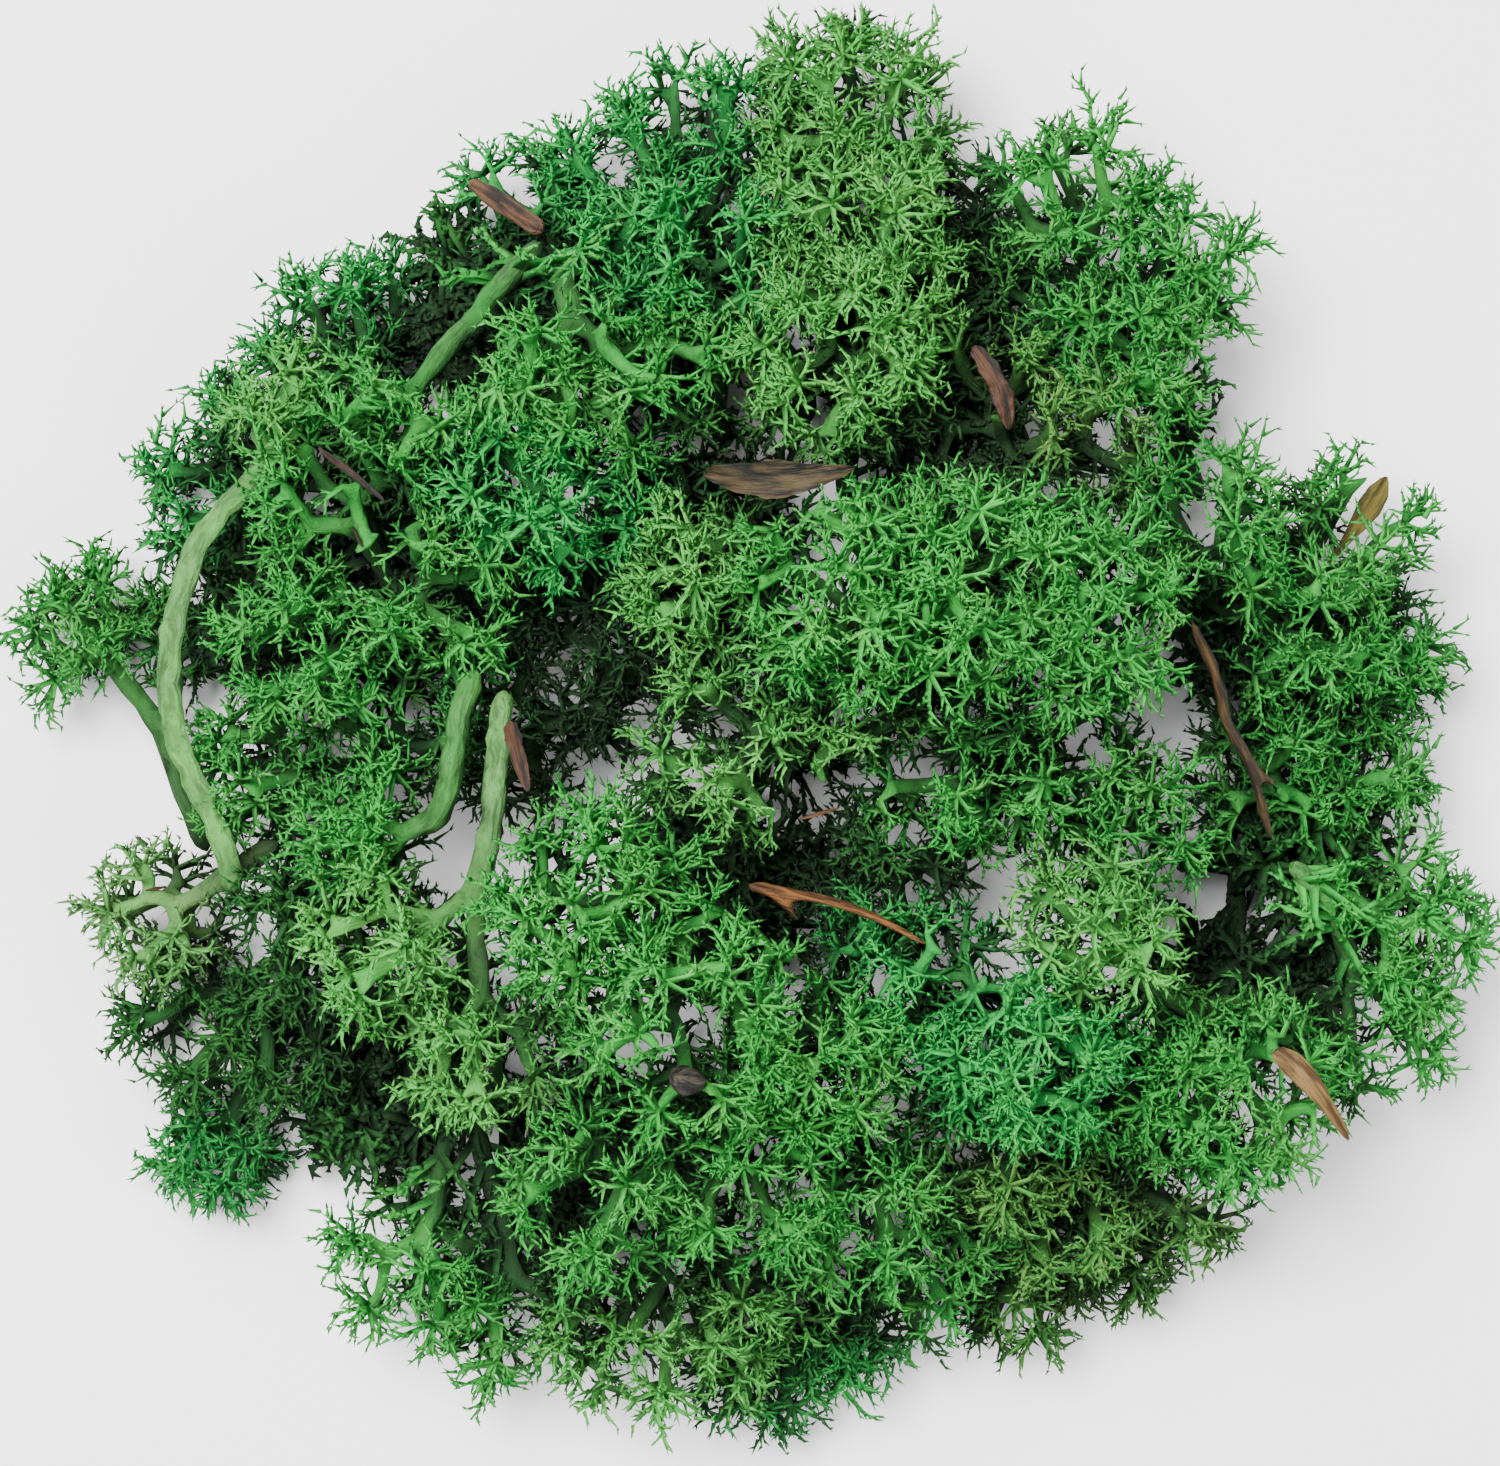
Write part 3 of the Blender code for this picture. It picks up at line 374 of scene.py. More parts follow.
def offshoots(draw, paths, length, count, lowest):
    """Twigs that leave each path, read as the curve through its start, middle and end, past a share of it."""
    t = lowest + (1 - lowest) * (np.arange(count) + draw.uniform(0, STRAY, (len(paths), count))) / count
    t = t[..., None]
    start, end = paths[:, 0][:, None], paths[:, -1][:, None]
    middle = paths[:, paths.shape[1] // 2][:, None] if paths.shape[1] > 2 else (start + end) / 2
    roots = (1 - t) * (1 - 2 * t) * start + 4 * t * (1 - t) * middle + t * (2 * t - 1) * end
    ways = lean_out(draw, unit(paths[:, -1] - paths[:, 0]), TWIG_LEAN, count)
    return thorn_paths(draw, roots.reshape(-1, 3), ways.reshape(-1, 3), length, TWIG_STEPS)


def joined(meshes):
    """Points and faces of several meshes as one: each one's numbers go on after the points before it."""
    starts = np.cumsum([0] + [len(points) for points, _ in meshes])
    faces = [numbers + start for (_, numbers), start in zip(meshes, starts)]
    return np.vstack([points for points, _ in meshes]), np.vstack(faces)


def spray(draw, roots, ways, arm_length, stout):
    """Arms, twigs on the arms and thorns on the twigs, with how far out each point is and its arm's shade."""
    arms = thorn_paths(draw, roots, ways, arm_length, ARM_STEPS)
    twigs = offshoots(draw, arms, TWIG_LENGTH, TWIG_COUNT, TWIG_START)
    barbs = offshoots(draw, twigs, THORN_LENGTH, THORN_COUNT, THORN_START)
    shades = draw.uniform(0, 1, len(arms))
    radii = (ARM_RADIUS, TWIG_RADIUS, THORN_RADIUS)
    meshes = [thorns(paths, radius * stout) for paths, radius in zip((arms, twigs, barbs), radii)]
    outness = [np.tile(np.linspace(*ends, len(made) // len(paths)), len(paths))
               for (made, _), paths, ends in zip(meshes, (arms, twigs, barbs), OUTNESS)]
    shade = [np.repeat(shades, len(made) // len(arms)) for made, _ in meshes]
    return *joined(meshes), np.concatenate(outness), np.concatenate(shade)


up = np.array(((0.0, 0.0, 1.0),))
sample = spray(np.random.default_rng(SEED), up * 0, up, (3 * MM, 3 * MM), 1)
print("one arm with its twigs has", len(sample[1]), "triangles")

# %% [markdown]
# ## Where the sprays stand
# Three places bear them. Every tip of a solid gets a whorl, set back a little so that it reaches as far as
# the tip does. The thin branches get single arms along their sides, drawn by area, so that long branches get
# more. And low inside the clump the stems bear the old growth, long and coarse, which is what makes the gaps
# between the heads dark. An arm leaves along the surface's normal and turns towards the thinner end.

# %% Arms of a tuft
ARM_COUNT = 6
ARM_LENGTH = (2.8 * MM, 4.6 * MM)
ARM_LEAN = (math.radians(35), math.radians(88))  # how far the arms of a whorl lean out
ROOT_ON_TIP = 0.35  # where on a tip its whorl stands, from the ring to the point
SIDE_ARMS = 0.2 / MM**2  # arms on a square millimetre of thin branch
SIDE_LENGTH = (2.0 * MM, 4.0 * MM)
THIN = 0.92 * MM
FORWARD = 0.8  # how far a side arm turns towards the thinner end
WAYWARD = 0.25  # how far it strays from there
FEWER_BARE = 0.3
STOUT_UNDER, LONG_UNDER, MORE_UNDER = 2.0, 1.6, 2.2  # sprays that show only through gaps, against the rest
OLD_ARMS = 0.19 / MM**2
OLD_LENGTH = (4.0 * MM, 8.5 * MM)
OLD_HEIGHT = 27 * MM
STOUT_OLD = 1.6
CLEAN = (*STEMMY, "sprig")  # words in the names of tufts without old growth


def side_arms(draw, points, faces, girth, chosen_faces, density):
    """Roots and directions of arms on some of the faces, drawn by area."""
    a, b, c = points[faces[:, 0]], points[faces[:, 1]], points[faces[:, 2]]
    square = np.cross(b - a, c - a)
    share = np.linalg.norm(square, axis=1) / 2 * chosen_faces
    count = int(share.sum() * density)
    if count == 0:
        return np.zeros((0, 3)), np.zeros((0, 3))
    chosen = draw.choice(len(faces), count, p=share / share.sum())
    mix = draw.dirichlet((1, 1, 1), count)[..., None]
    roots = (points[faces[chosen]] * mix).sum(axis=1)
    row = np.arange(count)
    thick = faces[chosen][row, girth[faces[chosen]].argmax(axis=1)]
    thin = faces[chosen][row, girth[faces[chosen]].argmin(axis=1)]
    forward = unit(points[thin] - points[thick])
    ways = unit(unit(square[chosen]) + forward * FORWARD + draw.normal(0, WAYWARD, (count, 3)))
    return roots - ways * ARM_RADIUS, ways


def arms_of(draw, name, points, faces, girth, tips, rings):
    """Roots, directions, lengths and thickness of the arms round the tips, along the sides and low down."""
    base = points[rings].mean(axis=1)
    to_tip = points[tips] - base
    whorl = lean_out(draw, unit(to_tip), ARM_LEAN, ARM_COUNT).reshape(-1, 3)
    whorl_roots = np.repeat(base + to_tip * ROOT_ON_TIP, ARM_COUNT, axis=0)
    stout, long, more = (STOUT_UNDER, LONG_UNDER, MORE_UNDER) if name.startswith("under_") else (1, 1, 1)
    more = FEWER_BARE if "bare" in name else more
    thin = girth[faces].mean(axis=1) < THIN
    low = points[faces][:, :, 2].mean(axis=1) < OLD_HEIGHT
    sides = side_arms(draw, points, faces, girth, thin, SIDE_ARMS * more)
    old = side_arms(draw, points, faces, girth, ~thin & low, 0 if has_word(name, CLEAN) else OLD_ARMS)
    print(name, len(tips), "whorls,", len(sides[0]), "side arms and", len(old[0]), "of the old growth")
    return [(starts, ways, (shortest * long, longest * long), thick)
            for (starts, ways), (shortest, longest), thick in (((whorl_roots, whorl), ARM_LENGTH, stout),
                                                               (sides, SIDE_LENGTH, stout),
                                                               (old, OLD_LENGTH, STOUT_OLD))]


# %% [markdown]
# ## Room for what lies on top
# The needles and leaves lie on the clump and press the twigs aside. We could cut the twigs with a solid
# round each needle, but that leaves cut ends. Instead no arm grows close to one or over it. In the same way
# the twigs at the bottom are pressed flat on the table, rather than passing through it.

# %% Keep clear of the litter and above the floor
LITTER_GRID = 0.8 * MM
LITTER_CLEARANCE = 2.3 * MM
EDGE_SPOTS = 12
ARM_PLACES = (0.4, 0.8, 1.2)  # where along an arm its distance is taken; the last allows for its twigs
OVERHANG = (1, 1, 0.4)  # height counts for less than distance, so that what lies on top isn't grown over
FLOOR_LIFT = 0.2 * MM
FLOOR_BAND = 2.5 * MM


def spots_on(points, faces):
    """Places along the edges of a solid, one for each cell of a fine grid."""
    share = np.linspace(0, 1, EDGE_SPOTS)[:, None, None, None]
    spots = points[faces] * share + points[np.roll(faces, 1, axis=1)] * (1 - share)
    return np.unique(np.round(spots.reshape(-1, 3) / LITTER_GRID), axis=0) * LITTER_GRID


litter_spots = np.vstack([spots_on(*solid_of(name)) for name in litter])
print(len(litter_spots), "spots on the litter to keep clear of")


def clear_of_litter(roots, ways, length):
    """Which arms stay clear: from each place along them the nearest spot is beyond the clearance."""
    clear = np.ones(len(roots), bool)
    for share in ARM_PLACES:
        away = (roots + ways * length * share)[:, None] - litter_spots
        clear &= np.linalg.norm(away * OVERHANG, axis=2).min(axis=1) > LITTER_CLEARANCE
    return clear


def above_floor(points):
    """Points that pass below a band over the floor pressed together into it, never quite touching."""
    pressed = FLOOR_LIFT + (FLOOR_BAND - FLOOR_LIFT) * np.exp((points[:, 2] - FLOOR_BAND) / FLOOR_BAND)
    heights = np.where(points[:, 2] < FLOOR_BAND, pressed, points[:, 2])
    return np.column_stack((points[:, :2], heights))


# %% [markdown]
# ## Dressing a tuft
# A tuft's branches and all its sprays go into one mesh, because the real tuft grew as one body. Its points
# carry what its material will read: how far out they are, their spray's shade, how far along the branch they
# lie and which way it faces there. The finer piece then stands for the tuft's solid.

# %% Dress one tuft
def dress_tuft(name, number):
    """Rounded branches of a tuft with its sprays, as one mesh."""
    draw = np.random.default_rng((SEED, number))
    points, faces, girth, along, tips, rings = tuft_of(name)
    branches, quads, values = lumpy_branches(draw, name, points, faces, girth, along)
    meshes, values = [(branches, NO_FACES)], [values]
    for roots, ways, reach, stout in arms_of(draw, name, points, faces, girth, tips, rings):
        clear = clear_of_litter(roots, ways, reach[1])
        if clear.any():
            made, numbers, outness, shade = spray(draw, roots[clear], ways[clear], reach, stout)
            meshes.append((above_floor(made), numbers))
            values.append((outness, shade, np.zeros(len(made)), np.zeros((len(made), 3))))
    all_points, triangles = joined(meshes)
    outness, shade, creep, facing = (np.concatenate(each) for each in zip(*values))
    return put(name + "_lichen", mesh_of(name + "_lichen", all_points, quads, triangles,
                                         outness=outness, shade=shade, along=creep, facing=facing))


def hand_over(piece, name):
    """The piece rides on the only body and stands for its solid, which is hidden."""
    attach(piece, "root")
    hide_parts(name)
    return piece


pieces = [hand_over(dress_tuft(name, number), name) for number, name in enumerate(tufts)]
total = sum(len(piece.data.loops) - 2 * len(piece.data.polygons) for piece in pieces)
print(len(tufts), "tufts dressed,", total, "triangles")

# %% [markdown]
# ## Depth under the top
# The inside of the clump is nearly black in the shade under the heads, where the old growth lies. Light alone
# would not make it so dark, because the twigs are fewer than on the real one, so that shade is painted into
# the colour. So we need to know how deep each point lies under the clump's top: we take the greatest height
# in each cell of a grid, smooth it, and read it at every point.

# %% How high each point stands under the canopy
CANOPY_CELL = 5 * MM
CANOPY_DEPTH = 17 * MM
WINDOW = 3


def canopy_over(points):
    """Height of the top over each point: greatest height by cell, smoothed, then read between cells."""
    spot = (points[:, :2] - points[:, :2].min(axis=0)) / CANOPY_CELL
    cell = spot.astype(int)
    highest = np.zeros(cell.max(axis=0) + 1)
    np.maximum.at(highest, tuple(cell.T), points[:, 2])
    padded = np.pad(highest, WINDOW - 1, mode="edge")
    rows, columns = np.array(highest.shape) + WINDOW - 1
    smooth = sum(padded[i:i + rows, j:j + columns] for i in range(WINDOW) for j in range(WINDOW)) / WINDOW**2
    corner = np.floor(spot + 0.5).astype(int)
    across, up = (spot + 0.5 - corner).T
    i, j = corner.T
    return ((1 - across) * (1 - up) * smooth[i, j] + across * (1 - up) * smooth[i + 1, j]
            + (1 - across) * up * smooth[i, j + 1] + across * up * smooth[i + 1, j + 1])


own_points = [read(piece.data.vertices, "co") for piece in pieces]
places = np.vstack(own_points)
rise = np.clip(1 - (canopy_over(places) - places[:, 2]) / CANOPY_DEPTH, 0, 1)
for piece, own in zip(pieces, np.split(rise, np.cumsum([len(own) for own in own_points])[:-1])):
    keep(piece.data, "rise", own)
print("share of the points that lie at full depth", round(float((rise == 0).mean()), 2))

# %% [markdown]
# ## Maths in materials
# A material's pattern is a sum of nodes, and sums are easier to read as sums. The class below wraps the
# output of a node, and adding, taking away or multiplying two of them adds the Math node that does it.

# %% A wrapped socket
class Signal:
    """The output of a node, or a colour, that takes part in arithmetic inside one material."""

    def __init__(self, tree, socket):
        self.tree = tree
        self.socket = socket

    def node(self, kind, settings=None, sockets=None):
        """A new node of a type, with its settings, and a value or a link for sockets by name or number."""
        made = self.tree.nodes.new(kind)
        for key, value in (settings or {}).items():
            setattr(made, key, value)
        for key, value in (sockets or {}).items():
            if isinstance(value, Signal):
                self.tree.links.new(value.socket, made.inputs[key])
            else:
                made.inputs[key].default_value = value
        return made

    def math(self, operation, *values):
        """Math node of an operation on numbers or signals."""
        made = self.node("ShaderNodeMath", {"operation": operation}, dict(enumerate(values)))
        return Signal(self.tree, made.outputs[0])

    def __add__(self, other):
        return self.math("ADD", self, other)

    def __sub__(self, other):
        return self.math("SUBTRACT", self, other)

    def __rsub__(self, other):
        return self.math("SUBTRACT", other, self)

    def __mul__(self, other):
        return self.math("MULTIPLY", self, other)

    __radd__ = __add__
    __rmul__ = __mul__

    def clamp(self, low, high):
        """The signal spread from low..high to 0..1, smoothly, and no further."""
        made = self.node("ShaderNodeMapRange", {"interpolation_type": "SMOOTHSTEP"},
                         {0: self, 1: low, 2: high})
        return Signal(self.tree, made.outputs[0])

    def blend(self, first, second):
        """Colour that goes from the first to the second as this signal goes from 0 to 1."""
        made = self.node("ShaderNodeMix", {"data_type": "RGBA"}, {0: self, 6: first, 7: second})
        return Signal(self.tree, made.outputs[2])

    def noise(self, scale, detail=3.0, rough=0.55, along=None):
        """Noise read at this vector signal, and at a number as its fourth coordinate where one is given."""
        sockets = {"Vector": self, "Scale": scale, "Detail": detail, "Roughness": rough}
        if along is not None:
            sockets["W"] = along
        space = "3D" if along is None else "4D"
        made = self.node("ShaderNodeTexNoise", {"noise_dimensions": space}, sockets)
        return Signal(self.tree, made.outputs["Fac"])

    def scaled(self, by):
        """This vector signal multiplied by a vector."""
        made = self.node("ShaderNodeVectorMath", {"operation": "MULTIPLY"}, {0: self, 1: by})
        return Signal(self.tree, made.outputs[0])

    def into(self, shader, name):
        """Links this signal to a socket of the shader."""
        self.tree.links.new(self.socket, shader.inputs[name])


# %% [markdown]
# ## Starting a material
# Every finish here starts in the same way: an empty material with one shader, the place of each point on the
# object, and the numbers kept in the mesh. Its relief is a Bump node, which only bends the light, because
# the creases are far finer than the mesh. A constant goes straight onto the shader's own socket.

# %% Material, relief and tones
def new_material(name, roughness, gloss):
    """Material with its shader, object-space position and a reader of the numbers kept in the mesh."""
    material = bpy.data.materials.new(name)
    material.use_nodes = True
    tree = material.node_tree
    shader = tree.nodes["Principled BSDF"]
    shader.inputs["Roughness"].default_value = roughness
    shader.inputs["Specular IOR Level"].default_value = gloss
    place = Signal(tree, tree.nodes.new("ShaderNodeTexCoord").outputs["Object"])

    def attribute(key, output="Fac"):
        """Signal of a number or a vector kept at the mesh's points."""
        return Signal(tree, place.node("ShaderNodeAttribute", {"attribute_name": key}).outputs[output])

    return material, shader, place, attribute


def roughen(shader, height, strength, depth):
    """Bump from a height signal."""
    bump = height.node("ShaderNodeBump", None, {"Strength": strength, "Distance": depth, "Height": height})
    Signal(height.tree, bump.outputs[0]).into(shader, "Normal")


def tone(colour, share=1):
    """A colour with each part multiplied by a share, and full cover."""
    return (*[part * share for part in colour], 1)


# %% [markdown]
# ## Lichen
# The dye takes best on the thin ends, and the bare stems stay paler and greyer. So the colour goes from a
# stem tone to a tip tone by how far out a point is. Patches of a warmer green run through each tuft, every
# spray is a shade of its own, and small dark flecks break the surface. The stems are fibrous: long streaks
# and creases, from a noise that changes fast round a stem and slowly along it. One image of moss would be
# quicker, but it would be the same on each tuft and would not follow the branches.

# %% Tones of the lichen, one set for each slot
# Stem, tip and warm patch
LICHEN = {
    "lichen_pale": ((0.06, 0.165, 0.042), (0.05, 0.31, 0.042), (0.1, 0.34, 0.06)),
    "lichen_bright": ((0.036, 0.14, 0.028), (0.02, 0.27, 0.03), (0.06, 0.32, 0.045)),
    "lichen_green": ((0.032, 0.12, 0.025), (0.018, 0.25, 0.028), (0.055, 0.29, 0.042)),
    "lichen_emerald": ((0.022, 0.12, 0.026), (0.01, 0.27, 0.04), (0.035, 0.32, 0.05)),
    # The deep tones are painted shade: near-black greens for the tufts deep in the gaps, where shade falls
    "lichen_deep": ((0.012, 0.05, 0.01), (0.007, 0.09, 0.01), (0.02, 0.11, 0.014)),
    "lichen_muddy": ((0.04, 0.1, 0.022), (0.04, 0.2, 0.027), (0.1, 0.24, 0.04)),
    "lichen_bare": ((0.085, 0.16, 0.055), (0.07, 0.26, 0.05), (0.14, 0.24, 0.075)),
}
# Painted shade: the near-black green that the lichen goes to deep under the top and low over the floor
PAINTED_SHADE_TONE = (0.003, 0.016, 0.003)
# The range of a pattern that shows, then how strongly it shows and the share of the tone that it goes to
TIP_RANGE = (0.05, 0.6)
STREAK_RANGE, STREAK_DARK, STREAK_LIGHT = (0.36, 0.66), 0.45, 1.3
PATCH_RANGE, PATCH_STRENGTH = (0.42, 0.68), 0.5
WARM_RANGE, WARM_STRENGTH = (0.6, 1.0), 0.4
DARK_RANGE, DARK_STRENGTH, DARK_SHARE = (0.45, 0.0), 0.4, 0.35
FLECK_RANGE, FLECK_STRENGTH, FLECK_SHARE = (0.52, 0.75), 0.5, 0.3
# Painted shade: the depth range over which it deepens, how dark it gets, and the height over the floor below
# which it darkens more
RISE_RANGE, PAINTED_SHADE_STRENGTH = (0.0, 0.85), 0.96
LOW_RANGE, LOW_LIGHT = (0.0, 24 * MM), 0.5
# Scales of the noises, and how much of the streaks and the fuzz is in the relief
STREAK_ROUND, STREAK_ALONG, PATCH, FLECK, FUZZ = 2.6, 130, 140, 900, 3500
STREAK_DETAIL, STREAK_ROUGH = 4.0, 0.65
PLAIN_DETAIL, FUZZ_ROUGH = 2.0, 0.6
STREAK_RELIEF, FUZZ_RELIEF = 1.6, 0.5
RELIEF_STRENGTH, RELIEF_DEPTH = 0.9, 0.25 * MM
LICHEN_ROUGHNESS, LICHEN_GLOSS = 0.85, 0.25


# %% Lichen material
def lichen_colour(place, attribute, streaks, stem, tip, warm):
    """Stem tone to tip tone, streaked, with warm patches, dark flecks and a shade for each spray."""
    streaked = streaks.clamp(*STREAK_RANGE).blend(tone(stem, STREAK_DARK), tone(stem, STREAK_LIGHT))
    colour = attribute("outness").clamp(*TIP_RANGE).blend(streaked, tone(tip))
    sprays = attribute("shade")
    patches = place.noise(PATCH, PLAIN_DETAIL).clamp(*PATCH_RANGE)
    warmth = patches * PATCH_STRENGTH + sprays.clamp(*WARM_RANGE) * WARM_STRENGTH
    colour = warmth.blend(colour, tone(warm))
    colour = (sprays.clamp(*DARK_RANGE) * DARK_STRENGTH).blend(colour, tone(tip, DARK_SHARE))
    flecks = place.noise(FLECK, PLAIN_DETAIL).clamp(*FLECK_RANGE)
    return (flecks * FLECK_STRENGTH).blend(colour, tone(stem, FLECK_SHARE))


def lichen_material(name, *tones):
    """The lichen's colour, with painted shade deep under the top and low over the floor, and a fibrous
    relief.
    """
    material, shader, place, attribute = new_material(name, LICHEN_ROUGHNESS, LICHEN_GLOSS)
    along = attribute("along") * STREAK_ALONG
    streaks = attribute("facing", "Vector").noise(STREAK_ROUND, STREAK_DETAIL, STREAK_ROUGH, along)
    colour = lichen_colour(place, attribute, streaks, *tones)
    # Painted shade: the colour goes towards the near-black tone the deeper a point lies under the top and the
    # lower it lies over the floor
    height = Signal(place.tree, place.node("ShaderNodeSeparateXYZ", None, {"Vector": place}).outputs[2])
    open_to_sky = height.clamp(*LOW_RANGE) * LOW_LIGHT + (1 - LOW_LIGHT)
    lit = attribute("rise").clamp(*RISE_RANGE) * open_to_sky
    ((1 - lit) * PAINTED_SHADE_STRENGTH).blend(colour, tone(PAINTED_SHADE_TONE)).into(shader, "Base Color")
    relief = streaks * STREAK_RELIEF + place.noise(FUZZ, PLAIN_DETAIL, FUZZ_ROUGH) * FUZZ_RELIEF
    roughen(shader, relief, RELIEF_STRENGTH, RELIEF_DEPTH)
    return material


lichens = {slot: lichen_material(slot, *tones) for slot, tones in LICHEN.items()}
for piece, name in zip(pieces, tufts):
    piece.data.materials.append(lichens[slots[name]])
print(len(lichens), "finishes of lichen on", len(pieces), "tufts")

# %% [markdown]
# ## Leaves and bark
# The litter gives the clump its age. A leaf or a bark scrap is thin and uneven, and rounding its solid would
# only shrink it. So we read its spine and its widths off the solid and draw smooth curves through them.
# Then a fine outline is carried along: a leaf is cupped and rippled, bark is ridged and ragged, and the
# split wood has long grooves.

# %% Spine and widths of a flake
RIB_CORNERS = {"woody_stub": 8}
FLAKE_CORNERS = 4
ALONG_STEPS, ROUND_STEPS = 48, 28
SPINE_DEGREE, ACROSS_DEGREE = 3, 2
WAVE_RATE = 1.7
WAVE_SUM = 1.5  # brings the sum of the waves to about one


def ribs_of(points, corners):
    """Middle, direction across and half width of each ring of a solid that was carried along a spine."""
    spread = points - points.mean(axis=0)
    main = np.linalg.eigh(spread.T @ spread)[1][:, -1]
    rings = points[np.argsort(spread @ main, kind="stable")].reshape(-1, corners, 3)
    middles = rings.mean(axis=1)
    across = unit(np.cross(np.gradient(middles, axis=0), (0.0, 0.0, 1.0)))
    half = np.abs(((rings - middles[:, None]) * across[:, None]).sum(axis=2)).max(axis=1)
    return middles, across, half


def smooth_through(values, steps, degree):
    """Values read at even steps along the polynomial of a degree that fits those given."""
    given = np.linspace(0, 1, len(values))
    fit = np.polynomial.polynomial.polyfit(given, values, min(degree, len(values) - 1))
    return np.polynomial.polynomial.polyval(np.linspace(0, 1, steps), fit).T


def waves(draw, along, count):
    """Sum of sines of rising frequency and falling height, between about -1 and 1."""
    order = np.arange(1, count + 1)
    phase = draw.uniform(0, 2 * math.pi, count)
    return (np.sin(2 * math.pi * along[:, None] * order * WAVE_RATE + phase) / order).sum(axis=1) / WAVE_SUM


def closed(rings):
    """Points, quads and caps of a skin through rings: a fan round the middle of its end closes each end."""
    steps, corners, _ = rings.shape
    points = np.vstack((rings.reshape(-1, 3), rings[0].mean(axis=0), rings[-1].mean(axis=0)))
    here = np.arange((steps - 1) * corners).reshape(-1, corners)
    beside = np.roll(here, -1, axis=1)
    quads = np.stack((here, here + corners, beside + corners, beside), axis=-1).reshape(-1, 4)
    first, last = here[0], here[-1] + corners
    caps = np.vstack((np.column_stack((first, np.roll(first, -1), np.full(corners, len(points) - 2))),
                      np.column_stack((np.roll(last, -1), last, np.full(corners, len(points) - 1)))))
    return points, quads, caps


# %% Dress a leaf or a scrap of bark
LEAST_WIDTH = 0.1 * MM
END_RISE, END_SHARE = 12, 0.35  # how fast a flake widens from its ends, and its share of the width there
EDGE_WAVES, RIPPLE_WAVES = 9, 5
# Half thickness, cup, ripple (all in millimetres), how ragged the edge is, number and depth of ridges
FLAKES = {
    "curled_leaf": (0.2, 0.7, 0.3, 0.1, 7, 0.25),
    "tan_bract": (0.2, 0.5, 0.12, 0.06, 5, 0.3),
    "olive_leaf": (0.16, 0.25, 0.08, 0.03, 3, 0.2),
    "shredded_bark": (0.35, 0.2, 0.3, 0.22, 6, 0.55),
    "bark_strip": (0.28, 0.15, 0.12, 0.12, 5, 0.5),
    "woody_stub": (1.0, 0.0, 0.05, 0.08, 9, 0.22),
}


def dress_flake(name, number):
    """Middle + across * width * cos a + above * (thickness * sin a + cup * cos squared a), as a mesh."""
    draw = np.random.default_rng((SEED, number))
    thick, cup, ripple, ragged, ridges, ridge_depth = FLAKES[name]
    middles, across, half = ribs_of(solid_of(name)[0], RIB_CORNERS.get(name, FLAKE_CORNERS))
    t = np.linspace(0, 1, ALONG_STEPS)
    spine = smooth_through(middles, ALONG_STEPS, SPINE_DEGREE)
    side = unit(smooth_through(across, ALONG_STEPS, ACROSS_DEGREE))
    above = np.cross(side, unit(np.gradient(spine, axis=0)))
    ends = np.minimum(1, END_RISE * t + END_SHARE) * np.minimum(1, END_RISE - END_RISE * t + END_SHARE)
    width = np.maximum(np.interp(t, np.linspace(0, 1, len(half)), half), LEAST_WIDTH)
    width = (width * (1 + ragged * waves(draw, t, EDGE_WAVES)) * ends)[:, None]
    angle = np.arange(ROUND_STEPS) * 2 * math.pi / ROUND_STEPS
    x = np.cos(angle)[None]
    deep = thick * MM if name not in RIB_CORNERS else width
    y = np.sin(angle)[None] * deep * (1 - ridge_depth * (0.5 + 0.5 * np.cos(ridges * math.pi * x)))
    lift = cup * MM * x**2 + ripple * MM * waves(draw, t, RIPPLE_WAVES)[:, None] * x
    rings = spine[:, None] + side[:, None] * (width * x)[..., None] + above[:, None] * (y + lift)[..., None]
    length = np.linalg.norm(np.diff(middles, axis=0), axis=1).sum()
    grain = np.stack(np.broadcast_arrays((t * length)[:, None], width * x, y), axis=-1).reshape(-1, 3)
    grain = np.vstack((grain, grain[:1], grain[-1:]))
    return mesh_of(name + "_fine", *closed(rings), grain=grain)


# %% [markdown]
# ## Needles, twigs and the bud
# These are thin and round, so their solids are rounded as the branches are. The wood's streaks have to run
# along each of them, whichever way it lies, so its points are also measured along its own longest direction
# and across it.

# %% Dress a needle or a twig
LITTER_LEVELS = 2
ROUGH_NEEDLE = 0.15  # share of the thickness that a stick's surface is uneven by
ROUGH_STICKS = {"dry_bud": 0.9, "forked_twig": 0.4}


def dress_stick(name, number):
    """Rounded needle, twig or bud, with its places along, across and above its own main line."""
    draw = np.random.default_rng((SEED, number))
    points, faces = solid_of(name)
    girth = girth_of(points, faces)
    along = along_of(points, faces, girth)
    fine, normals, quads, fields = rounded(points, faces, LITTER_LEVELS, along=along,
                                           girth=np.minimum(girth, np.median(girth)))
    rough = ROUGH_STICKS.get(name, ROUGH_NEEDLE) * fields["girth"] * lumps(draw, normals, fields["along"])
    fine = fine + normals * rough[:, None]
    spread = fine - fine.mean(axis=0)
    grain = spread @ np.linalg.eigh(spread.T @ spread)[1][:, ::-1]
    return mesh_of(name + "_fine", fine, quads, NO_FACES, grain=grain)


# %% [markdown]
# ## Dry plant matter
# Wood, bark and dead leaves are all streaked along their length. A noise that is squeezed across the grain
# and stretched along it gives the streaks, once for the colour and once, finer, for the relief.

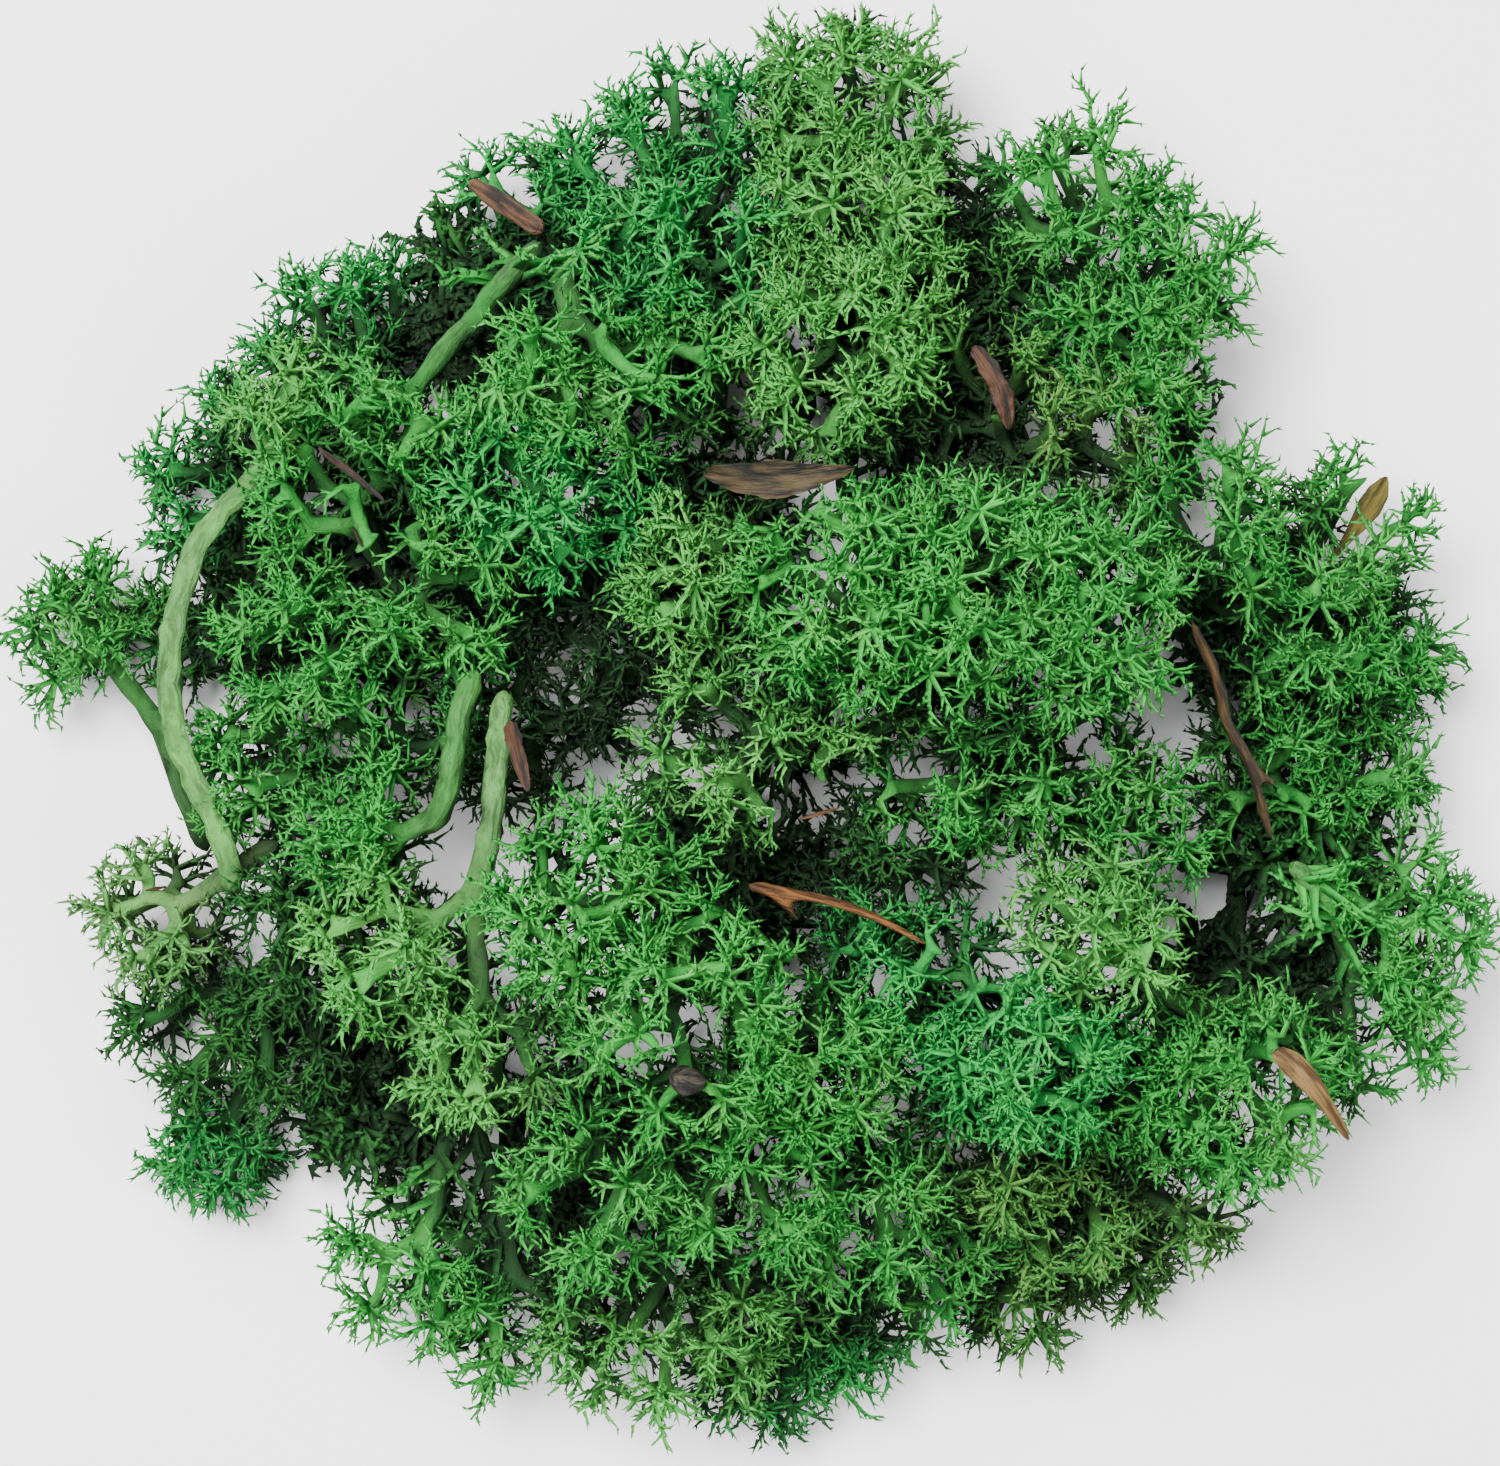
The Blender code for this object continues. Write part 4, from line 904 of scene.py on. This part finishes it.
# %% Litter materials, one for each slot
# Dark and light tone
LITTER = {
    "needle_dark": ((0.006, 0.003, 0.0015), (0.03, 0.013, 0.005)),
    "needle_tan": ((0.03, 0.011, 0.002), (0.15, 0.058, 0.012)),
    "needle_red": ((0.015, 0.005, 0.002), (0.06, 0.019, 0.006)),
    "twig": ((0.012, 0.007, 0.002), (0.065, 0.034, 0.008)),
    "leaf_brown": ((0.003, 0.0025, 0.001), (0.045, 0.03, 0.01)),
    "bract_tan": ((0.04, 0.019, 0.004), (0.16, 0.095, 0.03)),
    "leaf_olive": ((0.035, 0.03, 0.003), (0.12, 0.09, 0.012)),
    "bark_red": ((0.004, 0.0018, 0.001), (0.05, 0.019, 0.007)),
    "bark_tan": ((0.008, 0.0035, 0.0015), (0.085, 0.036, 0.012)),
    "bud_grey": ((0.003, 0.0025, 0.002), (0.04, 0.033, 0.02)),
}
STREAK = (220, 1500, 1500)
FIBRE = (400, 3200, 3200)
GRAIN_DETAIL, FIBRE_DETAIL, GRAIN_ROUGH = 4.0, 3.0, 0.6
GRAIN_RANGE, GRAIN_RELIEF = (0.4, 0.66), 1.5
LITTER_STRENGTH, LITTER_DEPTH = 0.9, 0.3 * MM
LITTER_ROUGHNESS, LITTER_GLOSS = 0.7, 0.35


def litter_material(name, dark, light):
    """Streaks of a dark and a light tone along the grain, with the streaks' relief."""
    material, shader, _, attribute = new_material(name, LITTER_ROUGHNESS, LITTER_GLOSS)
    grain = attribute("grain", "Vector")
    streaks = grain.scaled(STREAK).noise(1.0, GRAIN_DETAIL, GRAIN_ROUGH)
    streaks.clamp(*GRAIN_RANGE).blend(tone(dark), tone(light)).into(shader, "Base Color")
    relief = grain.scaled(FIBRE).noise(1.0, FIBRE_DETAIL, GRAIN_ROUGH) + streaks * GRAIN_RELIEF
    roughen(shader, relief, LITTER_STRENGTH, LITTER_DEPTH)
    return material


litters = {slot: litter_material(slot, *tones) for slot, tones in LITTER.items()}
for number, name in enumerate(litter):
    mesh = dress_flake(name, number) if name in FLAKES else dress_stick(name, number)
    mesh.materials.append(litters[slots[name]])
    hand_over(put(name + "_fine", mesh), name)
    print(name, "dressed with", len(mesh.polygons), "faces")

# %% [markdown]
# ## Floor, light and camera
# The clump lies on a plain pale floor. One large soft light stands over its upper left, a weaker one over
# its lower right, and the camera looks straight down, far enough away that the rim is seen from above too.

# %% Floor
FLOOR_SIDE = 1.6
FLOOR_TONE, FLOOR_ROUGHNESS, FLOOR_GLOSS = (0.93, 0.93, 0.93), 0.9, 0.5

half = FLOOR_SIDE / 2
floor_corners = np.array(((-half, -half, 0), (half, -half, 0), (half, half, 0), (-half, half, 0)))
floor = put("floor", mesh_of("floor", floor_corners, np.array(((0, 1, 2, 3),)), NO_FACES))
paper, paper_shader, _, _ = new_material("floor_paper", FLOOR_ROUGHNESS, FLOOR_GLOSS)
paper_shader.inputs["Base Color"].default_value = tone(FLOOR_TONE)
floor.data.materials.append(paper)
print("floor", FLOOR_SIDE, "m wide")

# %% Lights
# Place and side in metres, and power in watts
LIGHTS = {"key": ((-0.2, 0.18, 0.8), 0.4, 26), "fill": ((0.4, -0.35, 0.6), 0.6, 5)}
SKY = 0.4

for name, (place, side, power) in LIGHTS.items():
    light = put(name, bpy.data.lights.new(name, "AREA"))
    light.data.size = side
    light.data.energy = power
    light.location = place
    light.rotation_euler = (-Vector(place)).to_track_quat("-Z", "Y").to_euler()
world = bpy.data.worlds.new("pale_room")
world.use_nodes = True
world.node_tree.nodes["Background"].inputs[0].default_value = (1, 1, 1, 1)
world.node_tree.nodes["Background"].inputs[1].default_value = SKY
bpy.context.scene.world = world
print(len(LIGHTS), "soft lights and a pale sky")

# %% Camera
PHOTO_MIDDLE = (-0.1 * MM, -0.1 * MM)
FOCUS_HEIGHT = 25 * MM
PHOTO_WIDTH = 150 * MM
LENS, SENSOR = 135, 36
NEAR = 0.01

camera = put("camera", bpy.data.cameras.new("camera"))
camera.data.lens = LENS
camera.data.sensor_width = SENSOR
camera.data.clip_start = NEAR
camera.location = (*PHOTO_MIDDLE, FOCUS_HEIGHT + PHOTO_WIDTH * LENS / SENSOR)
bpy.context.scene.camera = camera
print("camera", round(camera.location.z, 2), "m up")
